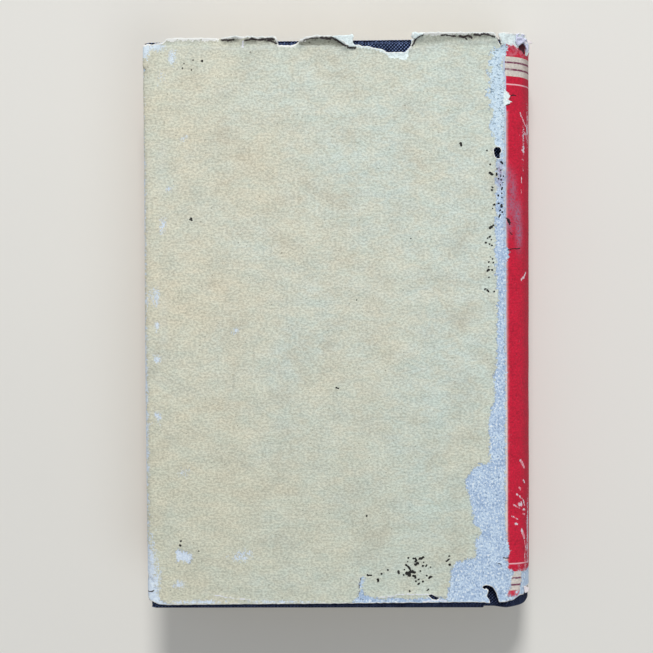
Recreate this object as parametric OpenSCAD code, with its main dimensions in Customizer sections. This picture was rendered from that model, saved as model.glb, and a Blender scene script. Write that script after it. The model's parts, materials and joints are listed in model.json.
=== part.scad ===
// Hardback book with a rounded spine, cloth-covered boards and a worn paper dust jacket.
// It lies on its front cover: +Z up, +Y towards the head, +X towards the spine.
// The origin is under the middle of the whole book, in the plane it rests on.

/* [Covers] */
// Height of a cover with its cloth, head to tail
cover_height = 190; // [150:1:260]
// Width of one board, from the fore-edge to the joint
board_width = 111.5; // [100:0.5:180]
// Thickness of the board
board_thickness = 2.4; // [1.6:0.1:4]
// Rounding of the covers' corners, seen from above
cover_corner = 1.6; // [0.8:0.1:4]
// Width of the open joint between a board and the spine
joint_width = 8; // [7:0.5:12]
// Width of the flat floor of the joint
joint_floor = 4; // [2:0.5:5]
// How far the covers stand past the pages
square_width = 3; // [2:0.5:5]

/* [Cloth] */
// Thickness of the book cloth
cloth_thickness = 0.4; // [0.25:0.05:0.6]
// Width of the cloth turned in over a board
turn_in = 15; // [8:1:25]
// Length of the cloth turned in at each end of the spine
spine_turn_in = 12; // [6:1:20]
// Rounding of the cloth over a board's edge
cloth_edge = 0.7; // [0.5:0.1:1.2]

/* [Pages] */
// Thickness of the block of pages at the fore-edge
pages_thickness = 18.6; // [14:0.2:40]
// Height of the backed shoulder above the pages
shoulder_height = 1.8; // [1:0.1:2.2]
// Length over which the shoulder rises
shoulder_run = 2.2; // [1.5:0.1:3]
// Thickness of an endpaper
endpaper_thickness = 0.2; // [0.1:0.05:0.3]
// Diameter of the head band and the tail band
band_diameter = 1.8; // [1:0.1:2.4]
// How far the bands reach round the spine, to each side, in degrees
band_reach = 42; // [30:1:45]

/* [Spine] */
// How far the spine bulges past the folds of the jacket
spine_bulge = 9; // [8:0.25:12]
// Rounding of the spine's ends, seen from above
spine_end_corner = 4; // [1:0.5:6]
// Thickness of the card inlay inside the spine's cloth
inlay_thickness = 0.8; // [0.4:0.1:1.2]
// Width left open between the folds and the inlay
inlay_setback = 1; // [0.5:0.1:2]
// Hollow between the inlay and the lined pages
spine_hollow = 0.6; // [0.6:0.1:1]
// Thickness of the paper lining on the spine
lining_thickness = 0.3; // [0.2:0.05:0.5]
// Thickness of the gauze on the spine
mull_thickness = 0.25; // [0.15:0.05:0.4]
// How far the gauze and its lining stop short of the ends of the pages
mull_margin = 8; // [4:1:20]

/* [Jacket] */
// Thickness of the jacket's paper
jacket_thickness = 0.2; // [0.1:0.05:0.3]
// Height of the jacket
jacket_height = 190; // [150:1:260]
// How far the jacket has slipped towards the head
jacket_slip = 1.7; // [0:0.1:4]
// Width of a flap
flap_width = 75; // [40:1:95]
// Rounding of the jacket's folds at the fore-edge
fold_radius = 0.8; // [0.5:0.1:1.2]

/* [Wear] */
// Depth of the piece lost from the head of the back panel
notch_depth = 6; // [3:0.5:12]
// Distance from the fore-edge to that piece
notch_start = 70.5; // [60:0.5:74]
// Width of that piece
notch_width = 19; // [18:0.5:24]
// Size of the corner lost at the tail of the fore-edge
corner_loss = 4.5; // [2:0.5:10]
// Length of the tear at the tail, beside the joint
tail_tear = 5.6; // [3:0.2:10]
// Distance from the fold back to that tear
tail_tear_setback = 3; // [2.5:0.5:5]
// Length lost from the tail of the spine
spine_tail_loss = 4; // [1:0.5:8]
// Width of the hole rubbed through beside the fold
rub_hole_width = 2.4; // [1:0.2:4]
// Length of that hole
rub_hole_length = 4; // [4:0.2:8]
// Distance from the fold back to the middle of that hole
rub_hole_setback = 3; // [2.5:0.25:6]
// Height of that hole above the middle of the covers
rub_hole_height = 57; // [-60:1:60]

/* [Clearances] */
// Air between sheets that lie on each other
sheet_gap = 0.1; // [0.05:0.05:0.2]
// Air at each side of a fold that swings
fold_gap = 0.1; // [0.05:0.05:0.2]

/* [Hidden] */
$fn = 120;
// Overreach of a cut, so that no face is shared with what it cuts
past = 1;
// Overreach of a cut that spans the whole book
far = 400;

// Heights are measured from the middle plane of the book
pages_half = pages_thickness / 2;
leaf_top = pages_half + endpaper_thickness;
flap_bottom = leaf_top + sheet_gap;
flap_top = flap_bottom + jacket_thickness;
pastedown_bottom = flap_top + sheet_gap;
turn_in_bottom = pastedown_bottom + endpaper_thickness;
board_bottom = turn_in_bottom + cloth_thickness;
board_top = board_bottom + board_thickness;
cloth_top = board_top + cloth_thickness;
jacket_top = cloth_top + jacket_thickness;
middle = jacket_top;

// Places across the book, from the fore-edge to the spine
total_width = jacket_thickness + cloth_thickness + board_width + joint_width + spine_bulge;
fore_x = -total_width / 2;
spine_x = total_width / 2;
fold_x = spine_x - spine_bulge;
cloth_x = fore_x + jacket_thickness;
board_x = cloth_x + cloth_thickness;
board_end = board_x + board_width;
leaf_x = cloth_x + square_width;

// Places along the book, from tail to head
cover_y = -(jacket_height / 2 + jacket_slip - cover_height / 2) / 2;
jacket_y = cover_y + jacket_slip;
pages_height = cover_height - 2 * square_width;
board_height = cover_height - 2 * cloth_thickness;

// The spine's layers are round about one line
jacket_radius = (pow(jacket_top, 2) + pow(spine_bulge, 2)) / (2 * spine_bulge);
spine_centre = spine_x - jacket_radius;
spine_cloth_radius = jacket_radius - jacket_thickness - sheet_gap;
inlay_radius = spine_cloth_radius - cloth_thickness;
hollow_radius = inlay_radius - inlay_thickness;
lining_radius = hollow_radius - spine_hollow;
mull_radius = lining_radius - lining_thickness;
pages_radius = mull_radius - mull_thickness;
shoulder_top = min(pages_half + shoulder_height, pages_radius - past / 2);
pages_reach = sqrt(pow(pages_radius, 2) - pow(min(pages_half, pages_radius - past), 2));
shoulder_x = spine_centre + sqrt(pow(pages_radius, 2) - pow(shoulder_top, 2));
shoulder_start = shoulder_x - shoulder_run;
hollow_centre = leaf_x - pages_reach;

// An outline drawn across the book, made long from y0 to y1
module lengthwise(y0, y1)
    translate([0, y1, 0])
        rotate([90, 0, 0])
            linear_extrude(y1 - y0)
                children();

module upper() translate([0, 0, middle]) children();

module lower() translate([0, 0, middle]) mirror([0, 0, 1]) children();

// A block between two corners
module block(low, high)
    translate(low)
        cube(high - low);

// A rectangle between two corners, with round corners
module round_rectangle(low, high, r) {
    translate([low[0] + r, low[1]]) square([high[0] - low[0] - 2 * r, high[1] - low[1]]);
    translate([low[0], low[1] + r]) square([high[0] - low[0], high[1] - low[1] - 2 * r]);
    for (x = [low[0] + r, high[0] - r], y = [low[1] + r, high[1] - r])
        translate([x, y]) circle(r);
}

// One layer of the spine, beyond x, between two radii
module spine_layer(outer, inner, x)
    difference() {
        translate([spine_centre, 0]) circle(outer);
        translate([spine_centre, 0]) circle(inner);
        translate([x - far, -far / 2]) square(far);
    }

// The block of pages: the fore-edge is hollow by as much as the spine is round
module pages_outline()
    difference() {
        polygon([
            [leaf_x, -pages_half],
            [shoulder_start, -pages_half],
            [shoulder_x, -shoulder_top],
            [spine_x, -shoulder_top],
            [spine_x, shoulder_top],
            [shoulder_x, shoulder_top],
            [shoulder_start, pages_half],
            [leaf_x, pages_half],
        ]);
        translate([hollow_centre, 0]) circle(pages_radius);
        difference() {
            translate([spine_centre, -far / 2]) square(far);
            translate([spine_centre, 0]) circle(pages_radius);
        }
    }

module pages()
    color("#e6dcc3") upper()
        lengthwise(cover_y - pages_height / 2, cover_y + pages_height / 2)
            pages_outline();

// The free leaf lies on the pages and climbs the shoulder
module free_endpaper()
    lengthwise(cover_y - pages_height / 2, cover_y + pages_height / 2)
        polygon([
            [leaf_x, pages_half],
            [shoulder_start, pages_half],
            [shoulder_x, shoulder_top],
            [shoulder_x, shoulder_top + endpaper_thickness],
            [shoulder_x - endpaper_thickness / 2, shoulder_top + endpaper_thickness],
            [shoulder_start - endpaper_thickness / 2, leaf_top],
            [leaf_x, leaf_top],
        ]);

module back_free_endpaper() color("#ece3cd") upper() free_endpaper();

module front_free_endpaper() color("#ece3cd") lower() free_endpaper();

module spine_strip(outer, inner)
    color("#d8d2c0") upper()
        lengthwise(cover_y - pages_height / 2 + mull_margin, cover_y + pages_height / 2 - mull_margin)
            spine_layer(outer, inner, shoulder_x);

module mull() spine_strip(mull_radius, pages_radius);

module spine_lining() spine_strip(lining_radius, mull_radius);

// A half-round bead on the end of the pages, along the edge of the spine
module end_band()
    rotate([90, 0, 0])
        rotate([0, 0, -band_reach])
            rotate_extrude(angle = 2 * band_reach)
                intersection() {
                    translate([pages_radius - band_diameter / 2, 0]) circle(d = band_diameter);
                    translate([0, -band_diameter]) square([far, band_diameter]);
                }

module head_band()
    color("#b9ab8a") upper()
        translate([spine_centre, cover_y + pages_height / 2, 0]) end_band();

module tail_band()
    color("#b9ab8a") upper()
        translate([spine_centre, cover_y - pages_height / 2, 0]) mirror([0, 1, 0]) end_band();

// Everything of the spine's case ends within this outline, seen from above
module spine_ends(length, centre)
    intersection() {
        children();
        translate([0, centre, -far / 2])
            linear_extrude(far)
                round_rectangle([0, -length / 2], [spine_x, length / 2], spine_end_corner);
    }

module spine_inlay()
    color("#8f7f63") upper()
        spine_ends(board_height, cover_y)
            lengthwise(cover_y - board_height / 2, cover_y + board_height / 2)
                spine_layer(inlay_radius, hollow_radius, fold_x + inlay_setback);

// The cloth of the spine is turned in over both ends of the inlay
module spine_cloth()
    color("#2b3350") upper()
        spine_ends(cover_height, cover_y) {
            lengthwise(cover_y - cover_height / 2, cover_y + cover_height / 2)
                spine_layer(spine_cloth_radius, inlay_radius, fold_x + fold_gap);
            for (side = [0, 1])
                translate([0, cover_y, 0]) mirror([0, side, 0]) {
                    lengthwise(board_height / 2, cover_height / 2)
                        spine_layer(inlay_radius, hollow_radius - cloth_thickness, fold_x + inlay_setback);
                    lengthwise(cover_height / 2 - spine_turn_in, board_height / 2)
                        spine_layer(hollow_radius, hollow_radius - cloth_thickness, fold_x + inlay_setback);
                }
        }

// The jacket's spine is worn away at the tail, least at the folds
module jacket_spine()
    color("#b12441") upper()
        difference() {
            lengthwise(jacket_y - jacket_height / 2, jacket_y + jacket_height / 2)
                spine_layer(jacket_radius, jacket_radius - jacket_thickness, fold_x + fold_gap);
            translate([0, jacket_y - jacket_height / 2, -far / 2])
                linear_extrude(far)
                    polygon([
                        [fold_x, -past],
                        [fold_x, 0],
                        [spine_x, spine_tail_loss],
                        [spine_x + past, spine_tail_loss],
                        [spine_x + past, -past],
                    ]);
        }

// A slab whose long edges are all rounded
module soft_slab(low, high, corner, edge)
    intersection() {
        translate([0, 0, low[2]])
            linear_extrude(high[2] - low[2])
                round_rectangle([low[0], low[1]], [high[0], high[1]], corner);
        lengthwise(low[1], high[1])
            round_rectangle([low[0], low[2]], [high[0], high[2]], edge);
        translate([low[0], 0, 0])
            rotate([90, 0, 90])
                linear_extrude(high[0] - low[0])
                    round_rectangle([low[1], low[2]], [high[1], high[2]], edge);
    }

module board()
    translate([0, cover_y, board_bottom])
        linear_extrude(board_thickness)
            round_rectangle(
                [board_x, -board_height / 2], [board_end, board_height / 2], cover_corner - cloth_thickness
            );

module back_board() color("#9c8b6c") upper() board();

module front_board() color("#9c8b6c") lower() board();

// The cloth covers the board, is turned in on three sides and runs through the joint to the fold
module cover_cloth() {
    difference() {
        soft_slab(
            [cloth_x, cover_y - cover_height / 2, turn_in_bottom],
            [board_end + cloth_thickness, cover_y + cover_height / 2, cloth_top],
            cover_corner, cloth_edge
        );
        board();
        block(
            [cloth_x + turn_in, cover_y - cover_height / 2 + turn_in, turn_in_bottom - past],
            [board_end, cover_y + cover_height / 2 - turn_in, board_bottom + board_thickness / 2]
        );
        block(
            [board_end - past, cover_y - cover_height / 2 + turn_in, turn_in_bottom - past],
            [board_end + past, cover_y + cover_height / 2 - turn_in, board_bottom]
        );
    }
    lengthwise(cover_y - cover_height / 2, cover_y + cover_height / 2)
        polygon([
            [board_end, board_bottom],
            [board_end + joint_floor, board_bottom],
            [fold_x - fold_gap, cloth_top - cloth_thickness],
            [fold_x - fold_gap, cloth_top],
            [board_end + joint_floor - cloth_thickness / 2, board_bottom + cloth_thickness],
            [board_end, board_bottom + cloth_thickness],
        ]);
}

module back_cover_cloth() color("#2b3350") upper() cover_cloth();

module front_cover_cloth() color("#2b3350") lower() cover_cloth();

// The pastedown steps down from the turned-in cloth to the bare board
module pastedown()
    difference() {
        union() {
            block(
                [leaf_x, cover_y - pages_height / 2, pastedown_bottom],
                [board_end, cover_y + pages_height / 2, turn_in_bottom]
            );
            block(
                [cloth_x + turn_in, cover_y - cover_height / 2 + turn_in, pastedown_bottom],
                [board_end, cover_y + cover_height / 2 - turn_in, board_bottom]
            );
            block(
                [board_end - past, cover_y - cover_height / 2 + turn_in, board_bottom - endpaper_thickness],
                [board_end + joint_floor, cover_y + cover_height / 2 - turn_in, board_bottom]
            );
        }
        block(
            [
                cloth_x + turn_in + endpaper_thickness,
                cover_y - cover_height / 2 + turn_in + endpaper_thickness,
                pastedown_bottom - past,
            ],
            [
                board_end + past,
                cover_y + cover_height / 2 - turn_in - endpaper_thickness,
                board_bottom - endpaper_thickness,
            ]
        );
    }

module back_pastedown() color("#ece3cd") upper() pastedown();

module front_pastedown() color("#ece3cd") lower() pastedown();

// A flap, its fold round the fore-edge and the panel up to the fold of the spine
module jacket_section()
    difference() {
        round_rectangle([fore_x, flap_bottom], [fold_x + far, jacket_top], fold_radius);
        round_rectangle(
            [fore_x + jacket_thickness, flap_top],
            [fold_x + far, jacket_top - jacket_thickness],
            fold_radius - jacket_thickness
        );
        translate([fore_x + flap_width, flap_bottom - past])
            square([2 * far, jacket_top - flap_bottom - jacket_thickness + past]);
        translate([fold_x - fold_gap, -far / 2]) square([2 * far, far]);
    }

module jacket_panel()
    lengthwise(jacket_y - jacket_height / 2, jacket_y + jacket_height / 2)
        jacket_section();

// What is torn from the head edge of the back panel: places from the fore-edge, depths from the edge
module head_tear()
    translate([fore_x, jacket_y + jacket_height / 2, 0])
        linear_extrude(far)
            polygon([
                [-past, -2.4],
                [8, -2.1],
                [24, -1.5],
                [44, -1.3],
                [44.7, -3.6],
                [50.7, -3.8],
                [54.6, -1.5],
                [notch_start - 0.5, -0.5],
                [notch_start, 0.4 - notch_depth * 0.7],
                [notch_start + 5, -notch_depth * 0.7],
                [notch_start + notch_width * 0.55, -notch_depth],
                [notch_start + notch_width - 2.5, -notch_depth],
                [notch_start + notch_width - 1, -notch_depth / 2],
                [notch_start + notch_width, past],
                [-past, past],
            ]);

module tail_losses()
    translate([0, jacket_y - jacket_height / 2, 0]) {
        linear_extrude(far)
            polygon([
                [fold_x - tail_tear_setback - 2.5, -past],
                [fold_x - tail_tear_setback - 3.3, tail_tear * 0.6],
                [fold_x - tail_tear_setback - 5.2, tail_tear],
                [fold_x - tail_tear_setback - 3.2, tail_tear + 0.3],
                [fold_x - tail_tear_setback - 1, tail_tear * 0.7],
                [fold_x - tail_tear_setback, -past],
            ]);
        translate([0, 0, -far / 2])
            linear_extrude(far)
                polygon([
                    [fore_x - past, -past],
                    [fore_x + corner_loss * 0.8, -past],
                    [fore_x + corner_loss * 0.6, corner_loss * 0.3],
                    [fore_x + corner_loss * 0.1, corner_loss],
                    [fore_x - past, corner_loss],
                ]);
    }

module rub_hole()
    translate([fold_x - rub_hole_setback, cover_y + rub_hole_height, 0])
        linear_extrude(far)
            round_rectangle(
                [-rub_hole_width / 2, -rub_hole_length / 2],
                [rub_hole_width / 2, rub_hole_length / 2],
                rub_hole_width / 2.2
            );

module jacket_back_panel()
    color("#c9d0c6") upper()
        difference() {
            jacket_panel();
            translate([0, 0, jacket_top - jacket_thickness - fold_radius / 2]) {
                head_tear();
                rub_hole();
            }
            tail_losses();
        }

module jacket_front_panel() color("#b12441") lower() jacket_panel();

pages();
back_free_endpaper();
front_free_endpaper();
mull();
spine_lining();
head_band();
tail_band();
spine_inlay();
spine_cloth();
jacket_spine();
back_board();
back_cover_cloth();
back_pastedown();
jacket_back_panel();
front_board();
front_cover_cloth();
front_pastedown();
jacket_front_panel();
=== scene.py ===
import json
import math

import bmesh
import bpy
import numpy as np
from mathutils import Matrix, Vector, noise
from mathutils.kdtree import KDTree


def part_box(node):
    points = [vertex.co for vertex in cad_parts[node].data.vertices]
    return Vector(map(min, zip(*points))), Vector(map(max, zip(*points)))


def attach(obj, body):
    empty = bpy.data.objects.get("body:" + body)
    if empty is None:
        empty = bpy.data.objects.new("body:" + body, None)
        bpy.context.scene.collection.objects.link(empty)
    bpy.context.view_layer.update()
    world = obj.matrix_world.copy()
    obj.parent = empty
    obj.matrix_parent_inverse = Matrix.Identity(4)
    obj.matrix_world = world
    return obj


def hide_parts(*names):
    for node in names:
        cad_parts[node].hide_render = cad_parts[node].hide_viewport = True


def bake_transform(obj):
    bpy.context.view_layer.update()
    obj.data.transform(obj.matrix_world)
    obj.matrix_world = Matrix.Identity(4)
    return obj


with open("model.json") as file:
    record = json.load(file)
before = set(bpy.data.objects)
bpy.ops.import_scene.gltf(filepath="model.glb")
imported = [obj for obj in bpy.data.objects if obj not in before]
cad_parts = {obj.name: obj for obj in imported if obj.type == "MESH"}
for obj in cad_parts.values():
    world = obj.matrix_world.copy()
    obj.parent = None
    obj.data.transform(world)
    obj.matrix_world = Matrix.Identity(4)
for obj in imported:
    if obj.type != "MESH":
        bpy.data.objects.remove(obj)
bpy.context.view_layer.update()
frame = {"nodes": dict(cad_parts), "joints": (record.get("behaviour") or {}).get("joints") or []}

bl_info = {
    "name": "Worn Hardback Book",
    "version": (1, 0, 0),
    "blender": (4, 5, 0),
    "location": "View3D > Sidebar > Book",
    "description": "Builds a worn hardback book and its torn paper jacket round the packed frame",
    "category": "Object",
}

# Sizes below are in millimetres unless they say otherwise, and become metres in the mesh.
# Across is +X towards the spine, along is +Y towards the head, and heights count from the
# book's middle plane. A sheet's own places are "out", from the fore-edge round the section
# to the spine, and "along", which is the model's own Y.
MM = 0.001

# A sheet's UV map is called Sheet, and one of its units is this many millimetres
SHEET_UNIT = 100


def in_mm(corner):
    """A place that is given in metres, in millimetres."""
    return Vector(corner) / MM


jacket_low, jacket_high = (in_mm(c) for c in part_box("jacket_back_panel"))
spine_high = in_mm(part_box("jacket_spine")[1])
cloth_low, cloth_high = (in_mm(c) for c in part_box("back_cover_cloth"))
board_low, board_high = (in_mm(c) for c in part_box("back_board"))
pages_low, pages_high = (in_mm(c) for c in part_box("pages"))
leaf_low, leaf_high = (in_mm(c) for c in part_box("back_free_endpaper"))
paste_low = in_mm(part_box("back_pastedown")[0])
hinge_places = {j["name"]: in_mm(j["pos_m"]) for j in frame["joints"]}

TOP = jacket_high.z
MIDDLE = TOP / 2
FORE = jacket_low.x
FOLD = hinge_places["back_cover_hinge"].x
SPINE = spine_high.x
FOLD_OUT = FOLD - FORE
COVER_Y = (cloth_low.y + cloth_high.y) / 2
COVER_HALF = (cloth_high.y - cloth_low.y) / 2
JACKET_HEAD = jacket_high.y
JACKET_TAIL = jacket_low.y
SPINE_BULGE = SPINE - FOLD
JACKET_RADIUS = (MIDDLE**2 + SPINE_BULGE**2) / (2 * SPINE_BULGE)
SPINE_CENTRE = SPINE - JACKET_RADIUS
FOLD_ANGLE = math.acos((FOLD - SPINE_CENTRE) / JACKET_RADIUS)
LAST_OUT = FOLD_OUT + 2 * JACKET_RADIUS * FOLD_ANGLE


def srgb(red, green, blue):
    """The linear colour of an sRGB colour that is given from 0 to 255."""
    parts = [c / 255 for c in (red, green, blue)]
    return tuple(c / 12.92 if c <= 0.04045 else ((c + 0.055) / 1.055) ** 2.4 for c in parts)


def length_property(name, description, default, low, high):
    """A length setting whose values are given in millimetres."""
    return bpy.props.FloatProperty(
        name=name, description=description, default=default * MM, min=low * MM, max=high * MM,
        unit="LENGTH", precision=5)


class BookSizes(bpy.types.PropertyGroup):
    """Sizes of the sheets that the looks are built from."""

    jacket_thickness: length_property("Jacket thickness", "Thickness of the jacket's paper", 0.2, 0.05, 0.5)
    flap_width: length_property("Flap width", "Width of the jacket's flaps inside the covers", 75, 40, 95)
    jacket_fold: length_property("Jacket fold", "Rounding of its folds at the fore-edge", 0.8, 0.4, 1.4)
    cloth_thickness: length_property("Cloth thickness", "Thickness of the book cloth", 0.4, 0.2, 0.6)
    cloth_edge: length_property("Cloth edge", "Rounding of the cloth over a board's edge", 0.7, 0.4, 1.2)
    cover_corner: length_property("Cover corner", "Rounding of a cover's corners from above", 1.6, 0.5, 4)
    turn_in: length_property("Turn-in", "Width of the cloth turned in over a board", 15, 8, 25)
    grid_step: length_property("Sheet step", "Size of the jacket sheet's coarsest faces", 2.4, 1, 4)


def colour_property(name, description, red, green, blue):
    """A colour setting whose default is given in sRGB from 0 to 255."""
    return bpy.props.FloatVectorProperty(
        name=name, description=description, default=srgb(red, green, blue),
        min=0, max=1, size=3, subtype="COLOR")


class BookColours(bpy.types.PropertyGroup):
    """Colours of the book's papers, cloth and board."""

    buff: colour_property("Buff paper", "Ground of the jacket's back", 206, 208, 193)
    buff_warm: colour_property("Warm mottle", "Warmer patches of the buff paper", 213, 207, 186)
    buff_cool: colour_property("Cool mottle", "Cooler patches of the buff paper", 201, 213, 207)
    rubbed: colour_property("Rubbed paper", "Paper core where the print is rubbed off", 204, 224, 243)
    rubbed_deep: colour_property("Rubbed hollows", "Darker fibres in the rubbed paper", 160, 184, 216)
    torn: colour_property("Torn paper", "Fresh white core along a tear", 232, 246, 248)
    red: colour_property("Jacket red", "Ground of the jacket's spine", 200, 27, 58)
    cream: colour_property("Jacket cream", "Bands across the jacket's spine", 210, 203, 196)
    grime: colour_property("Grime", "Grey dirt rubbed into the jacket", 146, 122, 150)
    speck: colour_property("Speck", "Black spots in the paper", 14, 10, 12)
    navy: colour_property("Book cloth", "Ground of the book cloth", 5, 8, 28)
    navy_light: colour_property("Cloth thread", "Lit threads of the book cloth", 150, 176, 236)
    page: colour_property("Page edge", "Edges of the leaves", 226, 214, 184)
    page_dark: colour_property("Page shade", "Aged and dusty edges of the leaves", 186, 165, 122)
    endpaper: colour_property("Endpaper", "Endpapers inside the covers", 232, 224, 202)
    thread: colour_property("Band thread", "Head band and tail band", 196, 178, 132)
    board: colour_property("Board", "Strawboard and card", 160, 142, 108)
    floor: colour_property("Floor", "Floor under the book", 226, 225, 221)


class StageSettings(bpy.types.PropertyGroup):
    """Lamps and camera round the book."""

    key_power: bpy.props.FloatProperty(
        name="Key lamp", description="Power of the soft lamp at the head", default=24.0, min=0, unit="POWER")
    fill_power: bpy.props.FloatProperty(
        name="Fill lamp", description="Power of the soft lamp at the fore-edge", default=3.0, min=0,
        unit="POWER")
    world_strength: bpy.props.FloatProperty(
        name="Sky", description="Strength of the even light from all round", default=0.33, min=0, max=1)
    camera_lens: bpy.props.FloatProperty(
        name="Lens", description="Focal length of the camera", default=69.34, min=20, max=200, unit="CAMERA")


# Shaders

class Finish:
    """A material being made. Each method adds nodes and returns the socket that they end in."""

    def __init__(self, name, roughness, specular):
        self.material = bpy.data.materials.new(name)
        self.material.use_nodes = True
        self.nodes = self.material.node_tree.nodes
        self.links = self.material.node_tree.links
        self.shader = self.nodes["Principled BSDF"]
        self.shader.inputs["Roughness"].default_value = roughness
        self.shader.inputs["Specular IOR Level"].default_value = specular

    def put(self, value, socket):
        """Joins a socket to another, or sets a plain number or colour on it."""
        if isinstance(value, bpy.types.NodeSocket):
            self.links.new(value, socket)
        elif isinstance(value, (int, float)):
            if socket.type in {"VECTOR", "RGBA"}:
                socket.default_value = [value] * len(socket.default_value)
            else:
                socket.default_value = value
        elif socket.type == "RGBA":
            socket.default_value = (*value[:3], 1)
        else:
            socket.default_value = value[:3]

    def object_place(self):
        """Object coordinates, in millimetres."""
        place = self.nodes.new("ShaderNodeTexCoord").outputs["Object"]
        return self.scaled(place, 1 / MM)

    def sheet_place(self):
        """The sheet's own place, out and along, in millimetres."""
        found = self.nodes.new("ShaderNodeUVMap")
        found.uv_map = "Sheet"
        return self.scaled(found.outputs["UV"], SHEET_UNIT)

    def scaled(self, vector, factor):
        """A vector or a colour times a number, or times a tuple axis by axis."""
        node = self.nodes.new("ShaderNodeVectorMath")
        by_axis = isinstance(factor, tuple)
        node.operation = "MULTIPLY" if by_axis else "SCALE"
        self.put(vector, node.inputs[0])
        self.put(factor, node.inputs[1] if by_axis else node.inputs["Scale"])
        return node.outputs["Vector"]

    def axes(self, vector):
        """The three parts of a vector."""
        node = self.nodes.new("ShaderNodeSeparateXYZ")
        self.put(vector, node.inputs[0])
        return node.outputs

    def math(self, operation, first, second=0.0, third=None, clamp=False):
        """One step of arithmetic, with numbers or sockets."""
        node = self.nodes.new("ShaderNodeMath")
        node.operation = operation
        node.use_clamp = clamp
        self.put(first, node.inputs[0])
        self.put(second, node.inputs[1])
        if third is not None:
            self.put(third, node.inputs[2])
        return node.outputs[0]

    def plus(self, first, second):
        """The sum of two numbers or sockets."""
        return self.math("ADD", first, second)

    def minus(self, first, second):
        """The first without the second."""
        return self.math("SUBTRACT", first, second)

    def times(self, first, second):
        """The product of two numbers or sockets."""
        return self.math("MULTIPLY", first, second)

    def most(self, first, second):
        """The larger of the two."""
        return self.math("MAXIMUM", first, second)

    def step(self, value, low, high):
        """0 below low and 1 above high, soft between them. With high below low it falls."""
        node = self.nodes.new("ShaderNodeMapRange")
        node.interpolation_type = "SMOOTHSTEP"
        self.put(value, node.inputs["Value"])
        self.put(low, node.inputs["From Min"])
        self.put(high, node.inputs["From Max"])
        return node.outputs["Result"]

    def spread(self, value, low, high):
        """Brings a value from 0..1 to low..high."""
        return self.math("MULTIPLY_ADD", value, high - low, low)

    def mix(self, share, first, second):
        """The first colour where the share is 0, the second where it is 1."""
        node = self.nodes.new("ShaderNodeMix")
        node.data_type = "RGBA"
        self.put(share, node.inputs[0])
        self.put(first, node.inputs[6])
        self.put(second, node.inputs[7])
        return node.outputs[2]

    def lay(self, base, mask, strength, colour):
        """Lays a colour over a base where the mask is, with a strength from 0 to 1."""
        return self.mix(self.times(mask, strength), base, colour)

    def noise(self, vector, size, detail=2.0, roughness=0.5, distortion=0.0):
        """Noise whose features are about size millimetres across, from 0 to 1."""
        node = self.nodes.new("ShaderNodeTexNoise")
        self.put(vector, node.inputs["Vector"])
        node.inputs["Scale"].default_value = 1 / size
        node.inputs["Detail"].default_value = detail
        node.inputs["Roughness"].default_value = roughness
        node.inputs["Distortion"].default_value = distortion
        return node.outputs["Fac"]

    def field(self, name):
        """A point attribute of the piece."""
        node = self.nodes.new("ShaderNodeAttribute")
        node.attribute_name = name
        return node.outputs["Fac"]

    def bump(self, height, distance, strength):
        """A bump of that many millimetres."""
        node = self.nodes.new("ShaderNodeBump")
        node.inputs["Strength"].default_value = strength
        node.inputs["Distance"].default_value = distance * MM
        self.put(height, node.inputs["Height"])
        return node.outputs["Normal"]

    def done(self, colour, normal=None, roughness=None):
        """Ends the material with its colour, its bump and its roughness."""
        self.put(colour, self.shader.inputs["Base Color"])
        if normal is not None:
            self.put(normal, self.shader.inputs["Normal"])
        if roughness is not None:
            self.put(roughness, self.shader.inputs["Roughness"])
        return self.material


def grain(f, place, colour, fine, coarse):
    """Paper grain: a fine speckle and broader cloudiness in a colour's brightness."""
    speckle = f.step(f.noise(f.scaled(place, (0.72, 1.0, 1.0)), 0.62, 2.0, 0.6), 0.33, 0.67)
    cloud = f.step(f.noise(f.scaled(place, (0.7, 1.2, 1.0)), 7.0, 5.0, 0.7), 0.26, 0.74)
    level = f.plus(f.spread(speckle, 1 - fine, 1 + fine), f.spread(cloud, -coarse, coarse))
    return f.scaled(colour, level), speckle


def rubbed_paper(f, place, colours):
    """Bare paper core where the printed face is gone: fibrous, blue-white with deeper hollows."""
    fibres = f.noise(f.scaled(place, (1.0, 0.8, 1.0)), 0.62, 3.0, 0.65, 0.5)
    tufts = f.noise(place, 4.5, 3.0, 0.6)
    # The deeper hollows and the pits are partly darker fibres and partly painted shade in the rubbed paper's
    # relief.
    light = f.step(f.math("MULTIPLY_ADD", tufts, 0.4, fibres), 0.58, 0.84)
    colour = f.mix(light, colours.rubbed_deep, colours.rubbed)
    pits = f.step(fibres, 0.42, 0.32)
    colour = f.lay(colour, pits, 0.6, srgb(104, 122, 148))
    lint = f.step(fibres, 0.56, 0.66)
    return f.lay(colour, lint, 0.75, srgb(242, 247, 248)), fibres


# Printed lines across the spine and the front, as distance from the cover's middle and half width
CREAM_BAND = (85.85, 3.2)
DARK_RULES = ((84.85, 0.32), (87.15, 0.32))
PALE_RULE = (79.95, 0.22)
PRINT_BLUR = 0.07


class JacketFace(Finish):
    """The jacket's printed face. Its wear, and the shade painted on its lips and under its scraps, come from
    the sheet's point attributes.
    """

    def __init__(self, name, colours):
        super().__init__(name, 0.82, 0.25)
        self.colours = colours
        self.place = self.sheet_place()
        self.out, self.along, _ = self.axes(self.place)
        self.wander = self.noise(self.place, 2.2, 3.0, 0.6)
        self.fray = self.noise(self.place, 0.8, 3.0, 0.7)
        self.ragged_edge = self.step(self.fray, 0.32, 0.68)

    def frayed(self, name, by):
        """A point attribute whose edges are frayed by that much."""
        return self.plus(self.field(name), self.spread(self.ragged_edge, -by, by))


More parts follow.
